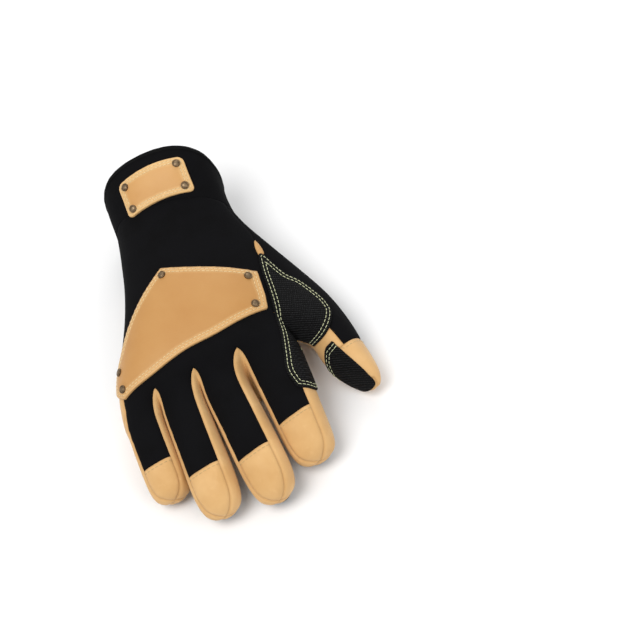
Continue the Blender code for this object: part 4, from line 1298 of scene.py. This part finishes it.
def seam_row(first, second, depth):
    """A line on the second panel at one distance from its seam with the first."""
    marks = hand_points[seam_points(first, second)]
    triangles = halved(hand_quads[hand_panel == panel_names.index(second)])
    used = np.unique(triangles)
    values = np.full(len(hand_points), 1.0)
    values[used] = nearest_of(hand_points[used], marks)[0]
    return contours(Laid(shell_points, shell_normals, triangles, values), [depth])


tan_thread = thread_finish("tan_thread", THREAD_TAN)
for name in [finger.name for finger in FINGERS] + ["thumb"]:
    back = BACK if name != "thumb" else THUMB_BACK
    stitched(name + "_cap_stitching", seam_row(back, name + "_cap", CAP_ROW_DEPTH), tan_thread, "tan_leather")

# The pull strap: tan webbing sewn flat along the heel of the palm, folded out past the rim as a loop and
# tucked back inside, with the frame of a name field printed on it in black and the field left empty.
STRAP_BREADTH = 0.019
STRAP_PLACE = 0.006
LOOP_REACH = 0.022
LOOP_SWELL = 0.004
LOOP_TUCK = 0.014
STRAP_GAP = 0.0006
STRAP_LIFT = 0.0004
RIM_OVERLAP = 0.001
STRAP_ROW_INSET = 0.0016
# added to the measure across the strap on its underside, where nothing is printed
UNPRINTED = 50
STRAP_TAN = (0.70, 0.42, 0.16)
FIELD_YELLOW = (0.74, 0.47, 0.13)
# the printed frame, in millimetres along and across the strap
FRAME_MIDDLE = 24.0
FRAME_HALF_LENGTH = 13.0
FRAME_HALF_WIDTH = 5.8
FRAME_CORNER = 2.0
FRAME_HALF_LINE = 0.9


def strap_finish():
    band = Finish("strap_webbing", 0.7, sheen=0.15, specular=0.3)
    weave = band.cells(0.0007)
    cloud = band.over(band.cloudy(0.012, 4.0), 0.3, 0.7)
    base = band.blend(cloud, toned(STRAP_TAN, 0.86), STRAP_TAN)
    base = band.blend(band.over(weave, 0.1, 0.7, 0.0, 0.3), base, toned(STRAP_TAN, 0.7))
    run, side = band.kept("along"), band.kept("side")
    squares = []
    for place, half in ((band.minus(run, FRAME_MIDDLE), FRAME_HALF_LENGTH), (side, FRAME_HALF_WIDTH)):
        past = band.math("MAXIMUM", band.minus(band.size_of(place), half - FRAME_CORNER), 0.0)
        squares.append(band.times(past, past))
    off = band.minus(band.math("SQRT", band.plus(*squares)), FRAME_CORNER)
    frame_line = band.over(band.size_of(off), FRAME_HALF_LINE, FRAME_HALF_LINE + 0.15, 1.0, 0.0)
    base = band.blend(band.over(off, -0.1, 0.1, 1.0, 0.0), base, FIELD_YELLOW)
    band.colour(band.blend(frame_line, base, (0.012, 0.012, 0.012)))
    band.bump(weave, 0.00015, 0.5)
    return band.material


def strap_path(rim_end):
    """The strap's middle line from the heel past the rim, round the loop and back inside, as (along, up)."""
    low = STRAP_THICKNESS / 2
    high = STRAP_THICKNESS * 1.5 + STRAP_GAP + WALL
    end = rim_end + LOOP_REACH
    path = [(heel_end() + STRAP_GAP, low), (rim_end - 0.015, low), (rim_end, low), (end - 0.012, low)]
    middle, radius = (low + high + LOOP_SWELL) / 2, (high + LOOP_SWELL - low) / 2
    for k in range(9):
        angle = math.pi * (k / 8 - 0.5)
        path.append((end - 0.008 + 0.007 * math.cos(angle), middle + radius * math.sin(angle)))
    path += [(end - 0.013, high + LOOP_SWELL * 0.85), (rim_end + 0.003, high + LOOP_SWELL * 0.15)]
    return path + [(rim_end - 0.002, high), (rim_end - LOOP_TUCK, high)]


def smooth_line(knots, steps):
    """A smooth open line through the knots."""
    knots = [np.array(knot) for knot in knots]
    knots = [2 * knots[0] - knots[1]] + knots + [2 * knots[-1] - knots[-2]]
    line = []
    for a, b, c, d in zip(knots, knots[1:], knots[2:], knots[3:]):
        for step in range(steps):
            t = step / steps
            line.append(0.5 * (2 * b + (c - a) * t + (2 * a - 5 * b + 4 * c - d) * t * t
                               + (3 * b - a - 3 * c + d) * t ** 3))
    return np.array(line + [knots[-2]])


rim_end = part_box("pull_strap")[1][1] - LOOP_REACH + RIM_OVERLAP
line = smooth_line(strap_path(rim_end), 8)
line[:, 1] = np.maximum(line[:, 1], STRAP_THICKNESS / 2 + STRAP_LIFT)
way = np.gradient(line, axis=0)
way /= np.maximum(np.linalg.norm(way, axis=1, keepdims=True), 1e-9)
out = np.stack([way[:, 1], -way[:, 0]], axis=1)
run = np.concatenate([[0], np.cumsum(np.linalg.norm(np.diff(line, axis=0), axis=1))])
half = STRAP_THICKNESS / 2
under = [(-1.0, -0.45), (-0.97, -0.9), (-0.90, -1.0)] + [(s, -1.0) for s in np.linspace(-0.8, 0.8, 9)] + [
    (0.90, -1.0), (0.97, -0.9), (1.0, -0.45)]
profile = under + [(-s, -t) for s, t in under]
strap_points, alongs, sides = [], [], []
for k in range(len(line)):
    for across_share, thick in profile:
        spot = line[k] + out[k] * half * thick
        strap_points.append((STRAP_PLACE + across_share * STRAP_BREADTH / 2, spot[0], max(spot[1], 0.0)))
        alongs.append(run[k] * 1000)
        sides.append(across_share * STRAP_BREADTH * 500 + (UNPRINTED if thick < 0 else 0))
size = len(profile)
strap_faces = banded(len(line), size)
strap_faces += [tuple(range(size))[::-1], tuple(range((len(line) - 1) * size, len(line) * size))]
strap = mesh_object("strap", strap_points, strap_faces, strap_finish(), {"along": alongs, "side": sides})
settle(strap, "tan_webbing", "pull_strap")
edge_lines = []
for side in (-1, 1):
    x = STRAP_PLACE + side * (STRAP_BREADTH / 2 - STRAP_ROW_INSET)
    for face in (-1, 1):
        spots = np.stack([np.full(len(line), x), *(line + out * half * face).T], axis=1)
        ways = np.stack([np.zeros(len(line)), *(out * face).T], axis=1)
        edge_lines.append((spots, ways))
stitched("strap_stitching", edge_lines, cream_thread, "tan_webbing")

# The setting: a plain pale floor, soft studio light from above and the front, and the camera.
CAMERA_TARGET = Vector((0, 0, 0.03))
CAMERA_TURN, CAMERA_RISE, CAMERA_ROLL = 10, 56, -25
CAMERA_DISTANCE = 1.3
FOCAL_PIXELS = 2010
TARGET_PIXEL = (194, 355)
PICTURE = 640
FLOOR_HALF = 3
SENSOR = 36
# name, place, what it shines at, size and power
LIGHTS = (
    ("key", (-0.5, -0.3, 1.3), (0, 0, 0), 1.0, 14),
    ("fill", (0.9, -0.9, 0.8), (0, 0, 0), 1.0, 6),
    ("rim", (0.2, 1.1, 0.7), (0, 0, 0.02), 0.8, 6),
)
SKY = 0.55


def pale_floor():
    finish = Finish("floor", 0.8, specular=0.2)
    finish.colour(finish.blend(finish.cloudy(0.4), (0.83, 0.83, 0.83), (0.86, 0.86, 0.86)))
    corners = [(x * FLOOR_HALF, y * FLOOR_HALF, 0) for x, y in ((-1, -1), (1, -1), (1, 1), (-1, 1))]
    item = mesh_object("floor", corners, [(0, 1, 2, 3)], finish.material)


def soft_light(name, place, aim, size, power):
    lamp = bpy.data.lights.new(name, "AREA")
    lamp.shape = "DISK"
    lamp.size = size
    lamp.energy = power
    item = placed(name, lamp)
    item.location = place
    item.rotation_mode = "QUATERNION"
    item.rotation_quaternion = (Vector(aim) - Vector(place)).to_track_quat("-Z", "Y")


def camera():
    rise, roll = math.radians(CAMERA_RISE), math.radians(CAMERA_ROLL)
    right = level_way(CAMERA_TURN)
    back = level_way(CAMERA_TURN - 90) * math.cos(rise) + Vector((0, 0, math.sin(rise)))
    up = back.cross(right)
    across, over = right * math.cos(roll) + up * math.sin(roll), up * math.cos(roll) - right * math.sin(roll)
    middle = across * (PICTURE / 2 - TARGET_PIXEL[0]) - over * (PICTURE / 2 - TARGET_PIXEL[1])
    middle -= back * FOCAL_PIXELS
    forward = middle.normalized()
    over = (over - forward * over.dot(forward)).normalized()
    lens = bpy.data.cameras.new("camera")
    lens.sensor_width = SENSOR
    lens.lens = FOCAL_PIXELS * SENSOR / PICTURE
    lens.clip_start, lens.clip_end = 0.05, 20
    item = placed("camera", lens)
    item.location = CAMERA_TARGET + back * CAMERA_DISTANCE
    item.rotation_mode = "QUATERNION"
    item.rotation_quaternion = Matrix((forward.cross(over), over, -forward)).transposed().to_quaternion()
    bpy.context.scene.camera = item


pale_floor()
for light in LIGHTS:
    soft_light(*light)
world = bpy.data.worlds.new("studio")
world.use_nodes = True
world.node_tree.nodes["Background"].inputs["Color"].default_value = (1, 1, 1, 1)
world.node_tree.nodes["Background"].inputs["Strength"].default_value = SKY
bpy.context.scene.world = world
bpy.context.scene.view_settings.view_transform = "Standard"
camera()
